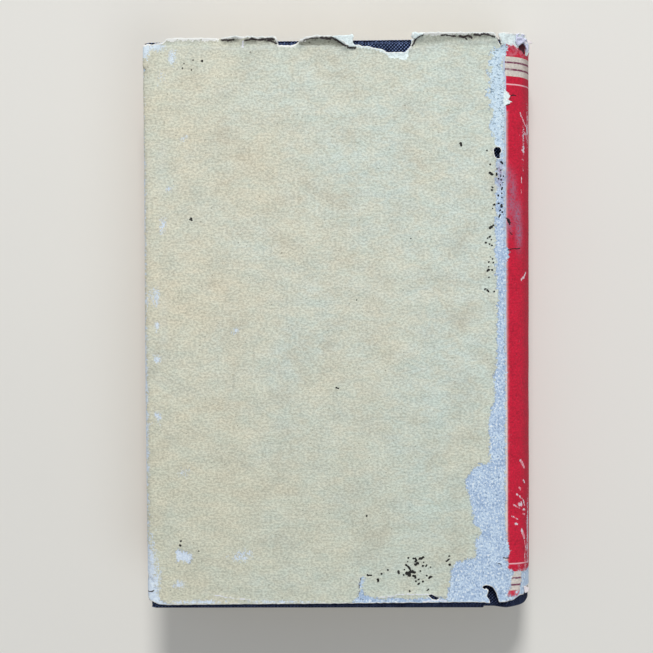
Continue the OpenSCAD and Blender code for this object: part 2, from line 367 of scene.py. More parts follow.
def buff_ground(f):
    """The buff of the back: warm and cool clouds, stains, faint fibres and paper grain."""
    place, colours = f.place, f.colours
    clouds = f.noise(place, 34.0, 5.0, 0.62)
    across = f.math("MULTIPLY_ADD", f.out, 0.0078, -0.43)
    drift = f.plus(f.plus(across, f.times(f.along, 0.0028)), f.spread(clouds, -0.95, 1.95))
    cool = f.math("MINIMUM", f.most(drift, 0.0), 1.0)
    buff = f.mix(0.12, f.mix(cool, colours.buff_warm, colours.buff_cool), colours.buff)
    tint = f.step(f.noise(f.scaled(place, (0.55, 1.5, 1.0)), 5.5, 4.0, 0.65), 0.3, 0.7)
    buff = f.lay(buff, tint, 0.4, srgb(189, 202, 190))
    warmth = f.step(f.noise(f.scaled(place, (0.8, 1.4, 1.0)), 4.2, 4.0, 0.7, 0.6), 0.36, 0.66)
    buff = f.lay(buff, warmth, 0.4, colours.buff_warm)
    stains = f.step(f.noise(place, 19.0, 5.0, 0.7, 0.5), 0.5, 0.72)
    buff = f.lay(buff, stains, 0.42, srgb(182, 176, 158))
    fibres = f.step(f.noise(f.scaled(place, (0.5, 1.6, 1.0)), 1.2, 3.0, 0.7, 1.0), 0.6, 0.68)
    buff = f.lay(buff, fibres, 0.3, srgb(152, 148, 126))
    pricks = f.step(f.noise(place, 0.9, 1.0, 0.4), 0.72, 0.77)
    buff = f.lay(buff, pricks, 0.5, srgb(92, 84, 70))
    # Painted shade: darker and cooler towards the tail, away from the light at the head.
    buff = f.lay(buff, f.step(f.along, 20, -80), 0.17, srgb(162, 184, 174))
    return grain(f, place, buff, 0.17, 0.075)[0]


def red_ground(f, along):
    """Red with cream bands near both ends. Also gives where the bands are, and the grain."""
    place, colours = f.place, f.colours
    off_centre = f.math("ABSOLUTE", f.minus(along, COVER_Y))
    height = f.plus(off_centre, f.spread(f.noise(place, 4.0, 2.0), -0.12, 0.12))

    def stripe(middle, half):
        apart = f.math("ABSOLUTE", f.minus(height, middle))
        return f.step(apart, half + PRINT_BLUR, half - PRINT_BLUR)

    band = stripe(*CREAM_BAND)
    rules = f.most(*(stripe(*rule) for rule in DARK_RULES))
    ink = f.noise(place, 1.4, 4.0, 0.7)
    red = f.lay(colours.red, f.step(ink, 0.45, 0.75), 0.5, srgb(140, 18, 48))
    thin_ink = f.step(f.noise(place, 0.9, 3.0, 0.7), 0.6, 0.72)
    red, speckle = grain(f, place, f.lay(red, thin_ink, 0.25, srgb(226, 110, 130)), 0.16, 0.1)
    cream, _ = grain(f, place, colours.cream, 0.12, 0.07)
    printed = f.lay(f.mix(band, red, cream), stripe(*PALE_RULE), 0.95, srgb(238, 182, 192))
    rubbed_ink = f.step(f.noise(place, 1.8, 3.0, 0.7), 0.3, 0.5)
    printed = f.mix(f.times(rules, f.spread(rubbed_ink, 0.35, 0.95)), printed, srgb(112, 44, 78))
    end_zone = f.times(f.step(height, 89.0, 89.5), f.step(ink, 0.38, 0.62))
    printed = f.lay(printed, end_zone, 0.55, srgb(206, 128, 146))
    # Painted shade: the red darkens on the spine's far side, where it turns away from the lamps.
    far_side = f.step(f.out, FOLD_OUT + 5.5, FOLD_OUT + 10.5)
    return f.lay(printed, far_side, 0.3, srgb(96, 30, 48)), band, speckle


def meet_at_fold(f, buff, printed, band):
    """Buff up to the fold, then a hairline of cream, then the print of the spine."""
    lower = f.step(f.along, 5, -30)
    shift = f.plus(f.times(lower, -0.25), f.times(band, 0.35))
    edge = f.plus(f.plus(f.out, shift), f.spread(f.wander, -0.12, 0.12))
    hairline = f.step(edge, FOLD_OUT - 0.6, FOLD_OUT - 0.48)
    face = f.mix(hairline, buff, f.mix(lower, srgb(182, 196, 222), srgb(226, 204, 204)))
    return f.mix(f.step(edge, FOLD_OUT - 0.12, FOLD_OUT + 0.08), face, printed)


def painted_lip_shading(f, face):
    """Painted shade, olive-brown, on the lips that stand up along the head edge, with painted shadow in their
    darker wrinkles.
    """
    soil = f.field("soil")
    painted_shade = f.times(soil, f.step(f.plus(f.fray, f.times(soil, 0.25)), 0.38, 0.62))
    face = f.lay(face, painted_shade, 0.85, srgb(140, 142, 130))
    wrinkle = f.noise(f.scaled(f.place, (0.5, 1.3, 1.0)), 0.8, 3.0, 0.7, 0.8)
    # The near-black wrinkles are painted shadow in the folds of the lips.
    folds = f.times(f.step(soil, 0.35, 0.8), f.step(wrinkle, 0.53, 0.62))
    return f.lay(face, folds, 0.75, srgb(58, 50, 44))


def rubbed_print(f, face):
    """Print rubbed off beside the fold and in scuffs, with grime. Also gives the bare places."""
    place = f.place
    core, fibres = rubbed_paper(f, place, f.colours)
    upper = f.step(f.along, 40, 70)
    core = f.lay(core, upper, 0.55, srgb(214, 236, 246))
    strokes = f.noise(f.scaled(place, (0.8, 1.3, 1.0)), 0.85, 2.0, 0.6, 0.8)
    lows = f.times(f.step(strokes, 0.47, 0.37), f.spread(upper, 0.15, 0.8))
    core = f.mix(lows, core, srgb(110, 130, 148))
    roam = f.times(f.spread(upper, 0.5, 1.6), f.step(f.out, FOLD_OUT - 0.6, FOLD_OUT - 3.0))
    stray = f.times(f.spread(f.step(f.wander, 0.35, 0.65), -0.6, 0.6), roam)
    patch = f.plus(f.frayed("worn", 0.5), stray)
    # Painted shade: a thin darker line along the rubbed patch's edge, where the printed layer steps down.
    outline = f.times(f.step(f.math("ABSOLUTE", patch), 0.34, 0.05), f.step(f.wander, 0.42, 0.6))
    shred = f.noise(f.scaled(place, (1.5, 0.8, 1.0)), 0.9, 3.0, 0.7, 1.4)
    scuffed = f.plus(f.plus(f.field("scuff"), f.spread(shred, -0.9, 0.9)), f.spread(f.wander, -0.3, 0.3))
    scuffs = f.step(scuffed, 0.4, 0.62)
    bare = f.most(f.step(patch, -0.1, 0.1), scuffs)
    core = f.lay(core, f.most(scuffs, f.step(f.out, 40, 10)), 0.6, srgb(228, 238, 248))
    face = f.lay(f.mix(bare, face, core), outline, 0.5, srgb(120, 132, 150))
    dirt = f.times(f.field("grime"), f.spread(f.step(f.fray, 0.38, 0.54), 0.3, 1.0))
    return f.lay(face, dirt, 0.85, f.colours.grime), bare, fibres


def torn_core(f, face):
    """White core in torn-off flakes, in thin streaks and along the tears."""
    ripped = f.step(f.frayed("ripped", 0.3), -0.12, 0.12)
    face = f.mix(ripped, face, grain(f, f.place, f.colours.torn, 0.13, 0.08)[0])
    streak = f.step(f.frayed("streak", 0.34), 0.36, 0.6)
    pink = f.times(f.step(f.wander, 0.56, 0.42), f.step(f.out, FOLD_OUT - 1, FOLD_OUT))
    face = f.lay(face, streak, 0.85, f.mix(pink, srgb(226, 228, 240), srgb(232, 146, 160)))
    width = f.math("MULTIPLY_ADD", f.step(f.wander, 0.36, 0.62), 0.3, f.spread(f.ragged_edge, 0.0, 0.42))
    rim = f.step(f.minus(f.field("rim"), width), 0.12, -0.06)
    return f.mix(rim, face, srgb(240, 242, 240))


def dark_marks(f, face):
    """Deep cracks, painted shadow lines and painted shade under the scraps, then black specks: the placed
    ones and the peppered ones.
    """
    crack = f.step(f.frayed("crack", 0.25), 0.42, 0.66)
    face = f.lay(face, crack, 0.93, srgb(38, 22, 30))
    dots = f.noise(f.place, 1.5, 2.0, 0.6)
    limit = f.math("MULTIPLY_ADD", f.field("peppered"), -0.33, 0.88)
    spots = f.most(f.step(f.frayed("speck", 0.2), 0.3, 0.4), f.step(f.minus(dots, limit), 0.0, 0.04))
    return f.lay(face, spots, 0.98, f.colours.speck)


def jacket_face(name, colours, has_back):
    """The whole printed face: a red one, or a buff back that meets the red spine at the fold."""
    f = JacketFace(name, colours)
    if has_back:
        # The bands at the tail of the spine run a little askew
        lean = f.spread(f.step(f.along, 0, -40), 0.0, 0.1)
        askew = f.plus(f.along, f.times(f.minus(f.out, FOLD_OUT), lean))
        printed, band, speckle = red_ground(f, askew)
        face = meet_at_fold(f, buff_ground(f), printed, band)
    else:
        face, _, speckle = red_ground(f, f.along)
    # Creases are dulled and a little paler where they are rubbed
    face = f.lay(face, f.field("crease"), 0.35, srgb(210, 216, 212))
    face, bare, fibres = rubbed_print(f, painted_lip_shading(f, face))
    face = dark_marks(f, torn_core(f, face))
    level = f.plus(f.times(speckle, 0.4), f.times(fibres, bare))
    level = f.minus(level, f.times(bare, 0.8))
    return f.done(face, f.bump(level, 0.11, 0.9), f.spread(speckle, 0.74, 0.9))


def bare_paper(name, tint):
    """The jacket's unprinted reverse and its cut edges."""
    f = Finish(name, 0.88, 0.2)
    colour, speckle = grain(f, f.sheet_place(), tint, 0.12, 0.06)
    return f.done(colour, f.bump(speckle, 0.05, 0.6))


def cloth_finish(name, colours):
    """Navy book cloth: a plain weave, worn paler on its high threads, and darkened towards the tail by
    painted shade.
    """
    f = Finish(name, 0.9, 0.07)
    place = f.sheet_place()
    drift = f.noise(place, 6.0, 2.0)
    bent = f.nodes.new("ShaderNodeVectorMath")
    bent.operation = "MULTIPLY_ADD"
    f.put(drift, bent.inputs[0])
    f.put((0.25, 0.25, 0.0), bent.inputs[1])
    f.put(place, bent.inputs[2])
    out, along, _ = f.axes(bent.outputs["Vector"])
    pitch = 1.12
    rising = f.math("SINE", f.times(f.minus(along, out), math.tau / pitch))
    falling = f.math("SINE", f.times(f.plus(along, out), math.tau / pitch))
    weave = f.plus(f.times(rising, 0.62), f.times(falling, 0.38))
    slub = f.noise(f.scaled(place, (1.0, 0.25, 1.0)), 0.8, 3.0, 0.6)
    lit = f.step(f.plus(weave, f.spread(slub, -0.8, 0.8)), 0.3, 0.62)
    rubbed = f.step(f.noise(place, 11.0, 3.0), 0.35, 0.7)
    # Painted shade: towards the tail the paler threads and the dust fade, so the cloth darkens where it lies
    # away from the key lamp.
    painted_shade = f.step(along, -60, -88)
    paler = f.times(f.times(lit, f.spread(rubbed, 0.45, 1.0)), f.spread(painted_shade, 1.0, 0.25))
    colour = f.mix(paler, colours.navy, colours.navy_light)
    dust = f.step(f.noise(place, 0.7, 2.0), 0.66, 0.74)
    colour = f.mix(f.times(dust, f.spread(painted_shade, 0.35, 0.12)), colour, srgb(120, 134, 160))
    return f.done(colour, f.bump(weave, 0.1, 0.8))


def leaf_edges(name, colours):
    """Edges of the leaves: fine layers with gaps, dust and age."""
    f = Finish(name, 0.9, 0.2)
    place = f.object_place()
    layers = f.noise(f.scaled(place, (0.04, 0.04, 1.0)), 0.22, 2.0, 0.7)
    gathers = f.noise(f.scaled(place, (0.02, 0.02, 1.0)), 1.1, 2.0, 0.5)
    dust = f.step(f.noise(place, 9.0, 4.0, 0.65), 0.45, 0.75)
    # The darker layer lines are painted shade in the gaps between the leaves; dust and age darken the edges
    # as well.
    dark = f.plus(f.step(layers, 0.6, 0.38), f.times(dust, 0.6))
    colour = f.mix(f.math("MULTIPLY", dark, 0.6, clamp=True), colours.page, colours.page_dark)
    colour = f.lay(colour, f.step(gathers, 0.66, 0.72), 0.3, srgb(120, 98, 66))
    return f.done(colour, f.bump(layers, 0.12, 0.8))


def plain_paper(name, tint, shade):
    """Uncoated paper, toned by age."""
    f = Finish(name, 0.9, 0.2)
    place = f.object_place()
    age = f.step(f.noise(place, 40.0, 4.0, 0.6), 0.4, 0.7)
    colour = f.lay(tint, age, 0.45, shade)
    foxing = f.step(f.noise(place, 2.2, 2.0), 0.72, 0.78)
    colour = f.lay(colour, foxing, 0.35, srgb(150, 112, 66))
    colour, speckle = grain(f, place, colour, 0.06, 0.03)
    return f.done(colour, f.bump(speckle, 0.04, 0.6))


def thread_finish(name, colours):
    """Thread of the head and tail bands."""
    f = Finish(name, 0.65, 0.35)
    strands = f.noise(f.object_place(), 0.25, 3.0, 0.6)
    # Painted shade: the thread is darker in the hollows between its strands.
    hollows = tuple(c * 0.62 for c in colours.thread)
    colour = f.mix(f.step(strands, 0.4, 0.65), hollows, colours.thread)
    return f.done(colour, f.bump(strands, 0.1, 0.7))


def gauze_finish(name):
    """Open gauze: threads that cross over dull glue."""
    f = Finish(name, 0.9, 0.2)
    _, along, up = f.axes(f.object_place())
    pitch = 1.1
    around = f.math("SINE", f.times(up, math.tau / pitch))
    down = f.math("SINE", f.times(along, math.tau / pitch))
    threads = f.step(f.most(around, down), 0.3, 0.8)
    colour = f.mix(threads, srgb(150, 132, 96), srgb(214, 206, 186))
    return f.done(colour, f.bump(threads, 0.1, 0.6))


def board_finish(name, colours, shade):
    """Pulp board with straws in it."""
    f = Finish(name, 0.92, 0.2)
    place = f.object_place()
    pulp = f.noise(f.scaled(place, (1.0, 1.0, 3.0)), 0.9, 4.0, 0.7)
    straw = f.step(f.noise(f.scaled(place, (0.3, 1.2, 2.0)), 1.2, 2.0), 0.6, 0.68)
    colour = f.scaled(tuple(c * shade for c in colours.board), f.spread(pulp, 0.75, 1.25))
    colour = f.lay(colour, straw, 0.4, srgb(196, 180, 140))
    return f.done(colour, f.bump(pulp, 0.1, 0.6))


# Sections and sheets

class Section:
    """A folded section: where a sheet's outer face runs, seen along the book.

    Each inner corner is rounded with its own radius. Places are counted in millimetres from start.
    """

    ROUND_STEPS = 8

    def __init__(self, corners, radii):
        dense = [Vector(corners[0])]
        for before, corner, after, radius in zip(corners, corners[1:], corners[2:], radii):
            before, corner, after = Vector(before), Vector(corner), Vector(after)
            first, last = (before - corner).normalized(), (after - corner).normalized()
            half = first.angle(last) / 2
            reach = radius / math.tan(half)
            centre = corner + (first + last).normalized() * (radius / math.sin(half))
            a, b = corner + first * reach, corner + last * reach
            for k in range(self.ROUND_STEPS + 1):
                arm = (a - centre).lerp(b - centre, k / self.ROUND_STEPS).normalized() * radius
                dense.append(centre + arm)
        dense.append(Vector(corners[-1]))
        self.points = np.array([tuple(p) for p in dense])
        self.start = 0.0
        self.measure()

    def add_arc(self, centre, radius, first, last, steps=96):
        """Runs on round an arc, between two angles in radians."""
        angles = np.linspace(first, last, steps + 1)
        arc = np.stack([centre + radius * np.cos(angles), radius * np.sin(angles)], 1)
        self.points = np.concatenate([self.points, arc])
        self.measure()

    def measure(self):
        """Drops double points and counts each point's place along the section."""
        steps = np.linalg.norm(np.diff(self.points, axis=0), axis=1)
        keep = np.concatenate([[True], steps > 1e-6])
        self.points = self.points[keep]
        steps = np.linalg.norm(np.diff(self.points, axis=0), axis=1)
        self.places = self.start + np.concatenate([[0], np.cumsum(steps)])

    def point(self, out):
        """The section's points at some places."""
        return np.stack([np.interp(out, self.places, self.points[:, k]) for k in (0, 1)], 1)

    def normal(self, out, soft=0.12):
        """The directions off the outer face, evened out over a short stretch each way."""
        along = self.point(np.asarray(out) + soft) - self.point(np.asarray(out) - soft)
        length = np.maximum(np.linalg.norm(along, axis=1), 1e-9)
        return np.stack([-along[:, 1], along[:, 0]], 1) / length[:, None]

    @property
    def end(self):
        """The last place."""
        return self.places[-1]


def soft_step(value, low, high):
    """0 below low and 1 above high, soft between them."""
    t = np.clip((value - low) / (high - low), 0, 1)
    return t * t * (3 - 2 * t)


def window(value, low, high, soft):
    """1 between low and high, with soft ends."""
    return soft_step(value, low - soft, low + soft) * (1 - soft_step(value, high - soft, high + soft))


def ragged(line, step, jitter, seed, closed=False):
    """A line broken into short stretches and pushed sideways a little, as torn paper is."""
    corners = [Vector(p) for p in line]
    if closed:
        corners.append(corners[0])
    made = []
    for a, b in zip(corners, corners[1:]):
        count = max(1, round((b - a).length / step))
        side = Vector((a.y - b.y, b.x - a.x)).normalized()
        for k in range(count):
            p = a.lerp(b, k / count)
            push = noise.noise((p.x * 0.7, p.y * 0.7, seed)) + 0.6 * noise.noise((p.x * 2.1, p.y * 2.1, seed))
            made.append(tuple(p + side * jitter * push))
    if not closed:
        made.append(tuple(corners[-1]))
    return made


def inside(points, outline):
    """Which points lie inside a closed outline."""
    a = np.array(outline, float)
    b = np.roll(a, -1, axis=0)
    rise = b[:, 1] - a[:, 1]
    slope = (b[:, 0] - a[:, 0]) / np.where(np.abs(rise) < 1e-12, 1e-12, rise)
    found = np.zeros(len(points), bool)
    chunk = 2000
    for start in range(0, len(points), chunk):
        x = points[start:start + chunk, 0, None]
        y = points[start:start + chunk, 1, None]
        crossed = (a[:, 1] > y) != (b[:, 1] > y)
        hit = crossed & (x < a[:, 0] + (y - a[:, 1]) * slope)
        found[start:start + chunk] = hit.sum(axis=1) % 2 == 1
    return found


class Line:
    """A line that distances are measured to."""

    def __init__(self, corners, closed=True, spacing=0.15):
        self.corners = [tuple(p[:2]) for p in corners]
        looped = self.corners + self.corners[:1] if closed else self.corners
        samples = []
        for a, b in zip(looped, looped[1:]):
            a, b = Vector(a), Vector(b)
            count = max(1, math.ceil((b - a).length / spacing))
            samples += [a.lerp(b, k / count) for k in range(count)]
        samples.append(Vector(looped[-1]))
        self.tree = KDTree(len(samples))
        for index, sample in enumerate(samples):
            self.tree.insert((*sample, 0), index)
        self.tree.balance()

    def nearest(self, x, y):
        """The line's nearest sample, as place, index and distance."""
        return self.tree.find((x, y, 0))

    def distance(self, points):
        """Each point's distance to the line."""
        return np.array([self.nearest(x, y)[2] for x, y in points])

    def signed(self, points):
        """Distance to the line, positive inside it."""
        return np.where(inside(points, self.corners), 1.0, -1.0) * self.distance(points)


def blobs(points, marks):
    """The strongest of some soft oval marks, each given as out, along, two radii and strength."""
    total = np.zeros(len(points))
    for out, along, wide, tall, strength in marks:
        reach = ((points[:, 0] - out) / wide) ** 2 + ((points[:, 1] - along) / tall) ** 2
        total = np.maximum(total, strength * np.exp(-reach))
    return total


def waves(points, size, seed):
    """Smooth noise at each point, from about -1 to 1."""
    return np.array([noise.noise((x / size, y / size, seed)) for x, y in points])


def piece_from(bm, name, finishes):
    """Turns a bmesh in millimetres into a smooth piece in metres."""
    bmesh.ops.scale(bm, vec=(MM, MM, MM), verts=bm.verts)
    mesh = bpy.data.meshes.new(name)
    bm.to_mesh(mesh)
    bm.free()
    mesh.shade_smooth()
    piece = bpy.data.objects.new(name, mesh)
    bpy.context.scene.collection.objects.link(piece)
    for finish in finishes:
        mesh.materials.append(finish)
    return piece


def settle(piece):
    """Applies a piece's modifiers, so that its mesh is final."""
    bpy.context.view_layer.update()
    depsgraph = bpy.context.evaluated_depsgraph_get()
    final = bpy.data.meshes.new_from_object(piece.evaluated_get(depsgraph))
    old = piece.data
    piece.modifiers.clear()
    piece.data = final
    final.name = piece.name
    bpy.data.meshes.remove(old)


def thicken(piece, thickness, back=0, rim=0):
    """Gives a sheet its thickness, inwards from its outer face.

    back and rim say how many slots after the face's own its reverse and its edges take.
    """
    solid = piece.modifiers.new("Thickness", "SOLIDIFY")
    solid.thickness = thickness
    solid.offset = -1
    solid.use_even_offset = False
    solid.material_offset = back
    solid.material_offset_rim = rim
    settle(piece)


def flat_grid(low, high, step):
    """A flat grid of square faces between two corners."""
    bm = bmesh.new()
    size = Vector(high) - Vector(low)
    counts = [max(1, round(size[k] / step[k])) for k in (0, 1)]
    bmesh.ops.create_grid(bm, x_segments=counts[0], y_segments=counts[1], size=0.5)
    bmesh.ops.scale(bm, vec=(size.x, size.y, 1), verts=bm.verts)
    bmesh.ops.translate(bm, vec=(*((Vector(low) + Vector(high)) / 2), 0), verts=bm.verts)
    return bm


def faces_and_middles(bm):
    """A flat sheet's faces, and the middle of each."""
    faces = list(bm.faces)
    return faces, np.array([tuple(face.calc_center_median()[:2]) for face in faces])


def refine(bm, chosen):
    """Cuts the chosen faces into four. chosen takes the faces' middles."""
    faces, middles = faces_and_middles(bm)
    picked = chosen(middles)
    edges = {edge for face, take in zip(faces, picked) if take for edge in face.edges}
    bmesh.ops.subdivide_edges(bm, edges=list(edges), cuts=1, use_grid_fill=True)


def trim(bm, outline, holes):
    """Cuts a flat sheet to a torn outline with holes in it."""
    faces, middles = faces_and_middles(bm)
    keep = inside(middles, outline.corners)
    for hole in holes:
        keep &= ~inside(middles, hole.corners)
    bmesh.ops.delete(bm, geom=[face for face, stays in zip(faces, keep) if not stays], context="FACES")
    for vert in bm.verts:
        if vert.is_boundary:
            hits = [line.nearest(vert.co.x, vert.co.y) for line in (outline, *holes)]
            place, _, _ = min(hits, key=lambda hit: hit[2])
            vert.co.x, vert.co.y = place.x, place.y
    bmesh.ops.dissolve_degenerate(bm, dist=0.02, edges=bm.edges)


def flat_places(bm):
    """The places of a flat sheet's points."""
    return np.array([tuple(vert.co[:2]) for vert in bm.verts])


def keep_fields(bm, fields):
    """Stores values as point attributes, by name."""
    for name, values in fields.items():
        layer = bm.verts.layers.float.new(name)
        for vert, value in zip(bm.verts, values):
            vert[layer] = float(value)


def keep_sheet_map(bm, places):
    """Stores the points' places on the flat sheet as its UV map."""
    bm.verts.index_update()
    layer = bm.loops.layers.uv.new("Sheet")
    for face in bm.faces:
        for loop in face.loops:
            loop[layer].uv = [place / SHEET_UNIT for place in places[loop.vert.index]]


def fold_sheet(bm, section, places, relief, upper=True):
    """Folds a flat sheet round a section, with relief in millimetres off its outer face."""
    points, normals = section.point(places[:, 0]), section.normal(places[:, 0])
    moved = points + normals * np.asarray(relief)[:, None]
    side = 1 if upper else -1
    for vert, (x, z), y in zip(bm.verts, moved, places[:, 1]):
        vert.co = (x, y, MIDDLE + side * z)
    if not upper:
        bmesh.ops.reverse_faces(bm, faces=bm.faces)


# The jacket's wear and its painted shade, placed on the sheet: out from the fore-edge, and along the book

HEAD_EDGE = [
    (-79, 93.6), (-6, 93.4), (-0.6, 93.1), (0.5, 93.3), (1.4, 93.5), (2.9, 93.4), (4.5, 93.6), (6.2, 93.7),
    (7.2, 94.4), (7.9, 95.1), (9, 95.3), (14, 95.3), (20.6, 95.2), (25.6, 95.1), (30.6, 95.4), (35.6, 95.4),
    (39.5, 95.3), (43.8, 95.3), (44.3, 94.6), (44.7, 93.5), (45, 92.8), (48.8, 92.5), (50.5, 93),
    (52, 93.8), (53.8, 94.9), (57.1, 95.4), (61.4, 95.3), (63, 95.2), (64.7, 94.7), (67.6, 92.7),
    (68.6, 92.1), (70.6, 92.4), (74.3, 91.9), (78.5, 91), (79.9, 90.5), (80.7, 89.9), (83.8, 89.8),
    (86.8, 89.9), (88.1, 91.2), (88.8, 92.2), (89.3, 94.5), (89.4, 95.6), (92.1, 95.9), (100.3, 95.9),
    (108.2, 95.8), (113.4, 95.7), (114.8, 95.9), (115.7, 95.6), (116.4, 94.7), (117.2, 93.8), (118.2, 92),
    (117.9, 93.4), (117.5, 94.7), (117.4, 95.7), (118, 95.8), (121, 95.7), (124.2, 95.8), (126.1, 96.2),
    (127.8, 95.9), (129.4, 93.8), (131.1, 92.1), (132.5, 90.6), (138, 93), (146, 95), (155.5, 95.2),
]
TAIL_EDGE = [
    (-79, -93.6), (-6, -93.6), (-1.6, -93.4), (-1.5, -89.9), (-0.7, -89.8), (-0.5, -91), (-0.2, -92),
    (0.3, -93), (1.4, -93.7), (3.1, -94.5), (6, -94.6), (30, -94.4), (62, -94.2), (93, -93.95),
    (110, -93.8), (114.5, -94.1), (114.3, -93), (113.5, -92), (113.7, -91), (114.1, -89.8), (113.2, -89.1),
    (112.8, -89.6), (111.8, -88.8), (112.5, -88.3), (113.6, -88.1), (115.3, -88.7), (116, -89.6),
    (116.5, -90.5), (116.9, -91.8), (117.3, -93), (117.7, -93.9), (120.1, -93.7), (121.2, -93.3),
    (122.9, -93.4), (124.2, -92.8), (125.7, -92.3), (128.1, -92.4), (129.3, -91.2), (130.2, -90.2),
    (137.3, -90.1), (146, -91.5), (155.5, -94),
]
RUB_HOLE = [
    (115.9, 57.5), (116.3, 58.1), (116.8, 58.4), (117.9, 58.3), (118.4, 57.5), (118.4, 56.7), (118, 56.3),
    (118.1, 55.3), (118, 54.7), (117.3, 54.6), (116.5, 55.1), (116.2, 56), (116.1, 56.8),
]
SMALL_TEAR = [
    (93.6, -91.5), (94.7, -91.1), (95.9, -91.7), (97.5, -92.4), (96.6, -93.1), (95.2, -92.8), (94.4, -92.1),
]

# Places where the printed face is rubbed off to the blue-white core
RUBBED_PATCH = [
    (118.2, 92.4), (117.6, 91.4), (116.4, 90.2), (115.4, 88.4), (114.3, 87.4), (114.2, 86.2), (114.9, 84.9),
    (114.6, 82.1), (114.9, 79.5), (114.1, 76.5), (114.3, 73), (115.6, 71), (114.9, 65), (116, 62.4),
    (116.2, 60), (116.7, 54.1), (116.9, 48), (116.7, 40.9), (116.5, 31), (116.4, 24.4), (116.8, 17),
    (117.3, 10), (117.1, 0.4), (117, -12.6), (116.2, -17.3), (116.3, -25.7), (114.6, -30.3), (114, -32.4),
    (114.4, -36.4), (114.6, -46.5), (112.6, -46.9), (109.9, -47.8), (107.6, -50.5), (106.2, -53.9),
    (107.6, -57.6), (108.9, -63.3), (109.2, -67), (111.5, -70.1), (109.9, -72.8), (109.8, -78.9),
    (106.5, -79.3), (102.8, -79.9), (101.6, -83.5), (100.4, -91.7), (99.4, -94.9), (119.7, -94.9),
    (120.6, -91.4), (120.4, -90.2), (121.4, -89.5), (121.7, -88.4), (122.2, -86.8), (122.1, -85.2),
    (122.9, -84), (121.9, -83.1), (120.7, -82.5), (120.3, -80.5), (119.9, -78.9), (121, -78.3),
    (121.2, -77.2), (121.2, -75.6), (120.7, -74.5), (120, -72.7), (119.7, -69.4), (119.7, -20), (119.6, 5),
    (119.8, 20), (120.9, 22.3), (121.2, 23.4), (120.9, 24.5), (119.8, 25.3), (119.6, 27), (119.6, 40),
    (119.5, 80), (119, 83.7), (119.1, 87), (119.8, 88.6), (120.3, 90.3), (120.9, 91.6),
]
TAIL_STRIP = [
    (68.1, -94.8), (69.1, -92.7), (70.3, -91.5), (70.7, -89.6), (70.6, -87.6), (71.4, -85.1), (72.6, -85.4),
    (71.6, -88.3), (71.7, -90.3), (73.2, -91.7), (75.5, -92.3), (79.6, -92.8), (81.6, -92.2), (84.9, -92.6),
    (88.3, -92.9), (93.7, -92.2), (100.1, -92.5), (100.6, -94.8),
]
CORNER_CHIP = [
    (-1.4, -84.9), (1, -86.1), (1.9, -88.6), (2.3, -91), (3, -92.6), (4.4, -93.8), (9, -95.2), (-1.2, -96),
]
SPINE_TAIL_WEAR = [
    (126.9, -84.6), (127, -87.3), (126.2, -89.4), (125.6, -91.2), (124.4, -92.2), (122.4, -92.1),
    (121, -91.7), (119.8, -93), (119.6, -95), (137, -95), (137, -84),
]
LEFT_SCUFF = [
    (8.6, -76.6), (9.5, -75.7), (12.2, -76.6), (13.9, -77.4), (14.2, -78.6), (13.5, -80), (12.2, -79.7),
    (11.5, -80.3), (10.1, -79.3), (9.1, -80), (8.8, -78.3),
]

# Places where a torn-off flake leaves the white core
NOTCH_RIP = [
    (80.5, 90.3), (80.8, 89.2), (81.5, 88.3), (82.5, 87.9), (84.8, 88.1), (86.1, 87.6), (87.1, 87.4),
    (87.9, 88.6), (88, 91), (84, 91),
]
NOTCH_STRIP = [
    (70.6, 93), (70.9, 91.7), (72.9, 91.5), (74.6, 91.2), (76.6, 90.9), (78.5, 90.4), (80.5, 89.5),
    (80.6, 91), (78.5, 92), (74.3, 93),
]
SPINE_HEAD_RIP = [
    (117.2, 96.6), (126, 97), (129, 96.6), (132, 93.5), (132, 89.6), (129.7, 89.3), (129.2, 91.2),
    (128.5, 92.4), (127.5, 93), (126.1, 92.5), (125.1, 91.7), (124.9, 91.1), (123.7, 91.3), (122.9, 91.6),
    (122.1, 91.9), (121.3, 91.6), (120.5, 92.1), (119.7, 92.3), (118.7, 92.1), (118.2, 92.5),
]
SPINE_CHIP = [
    (119.6, 77.4), (120.7, 76.3), (121.5, 75.2), (121.6, 74.5), (121, 74.7), (120.7, 74.2), (121.5, 73.8),
    (122.2, 73.4), (121.5, 72.9), (120.3, 72.3), (119.7, 71.9), (119.2, 72.9), (119.4, 75.2),
]

# Places that lie in deep shade under a curled scrap or a raised lip
SCRAP_SHADOW = [
    (125.2, 90.9), (125.1, 91.9), (126.1, 92.8), (127.3, 93.2), (128.4, 92.4), (128.7, 91.1), (129.3, 89.3),
    (127.8, 90), (126.7, 90.7), (125.9, 90.6),
]
ARCH_SHADE = [
    (50.8, 92.9), (51.9, 93.7), (53.1, 94.3), (54.1, 94.9), (57.4, 95.3), (63.4, 95.2), (64.7, 94.6),
    (66.3, 93.5), (68.6, 91.8), (67, 91.9), (62, 92.2), (52.1, 92.3),
]
LIP_SHADE = [
    (89.2, 94.6), (91, 94.9), (96, 94.6), (100, 94.3), (99, 92.3), (94, 91.5), (89.4, 90.9),
]

# Each lip is a stretch of the head edge whose paper stands up: first and last place out from
# the fore-edge, how far down the sheet it reaches, and how high it stands
LIPS = [
    (26, 44.6, 2.4, 0.9), (51.5, 68.5, 2.9, 1.6), (88.6, 117, 3.6, 1.8), (4, 24, 1.6, 0.35),
    (69.5, 87.6, 1.6, 0.4), (118.2, 132, 3, 0.6),
]
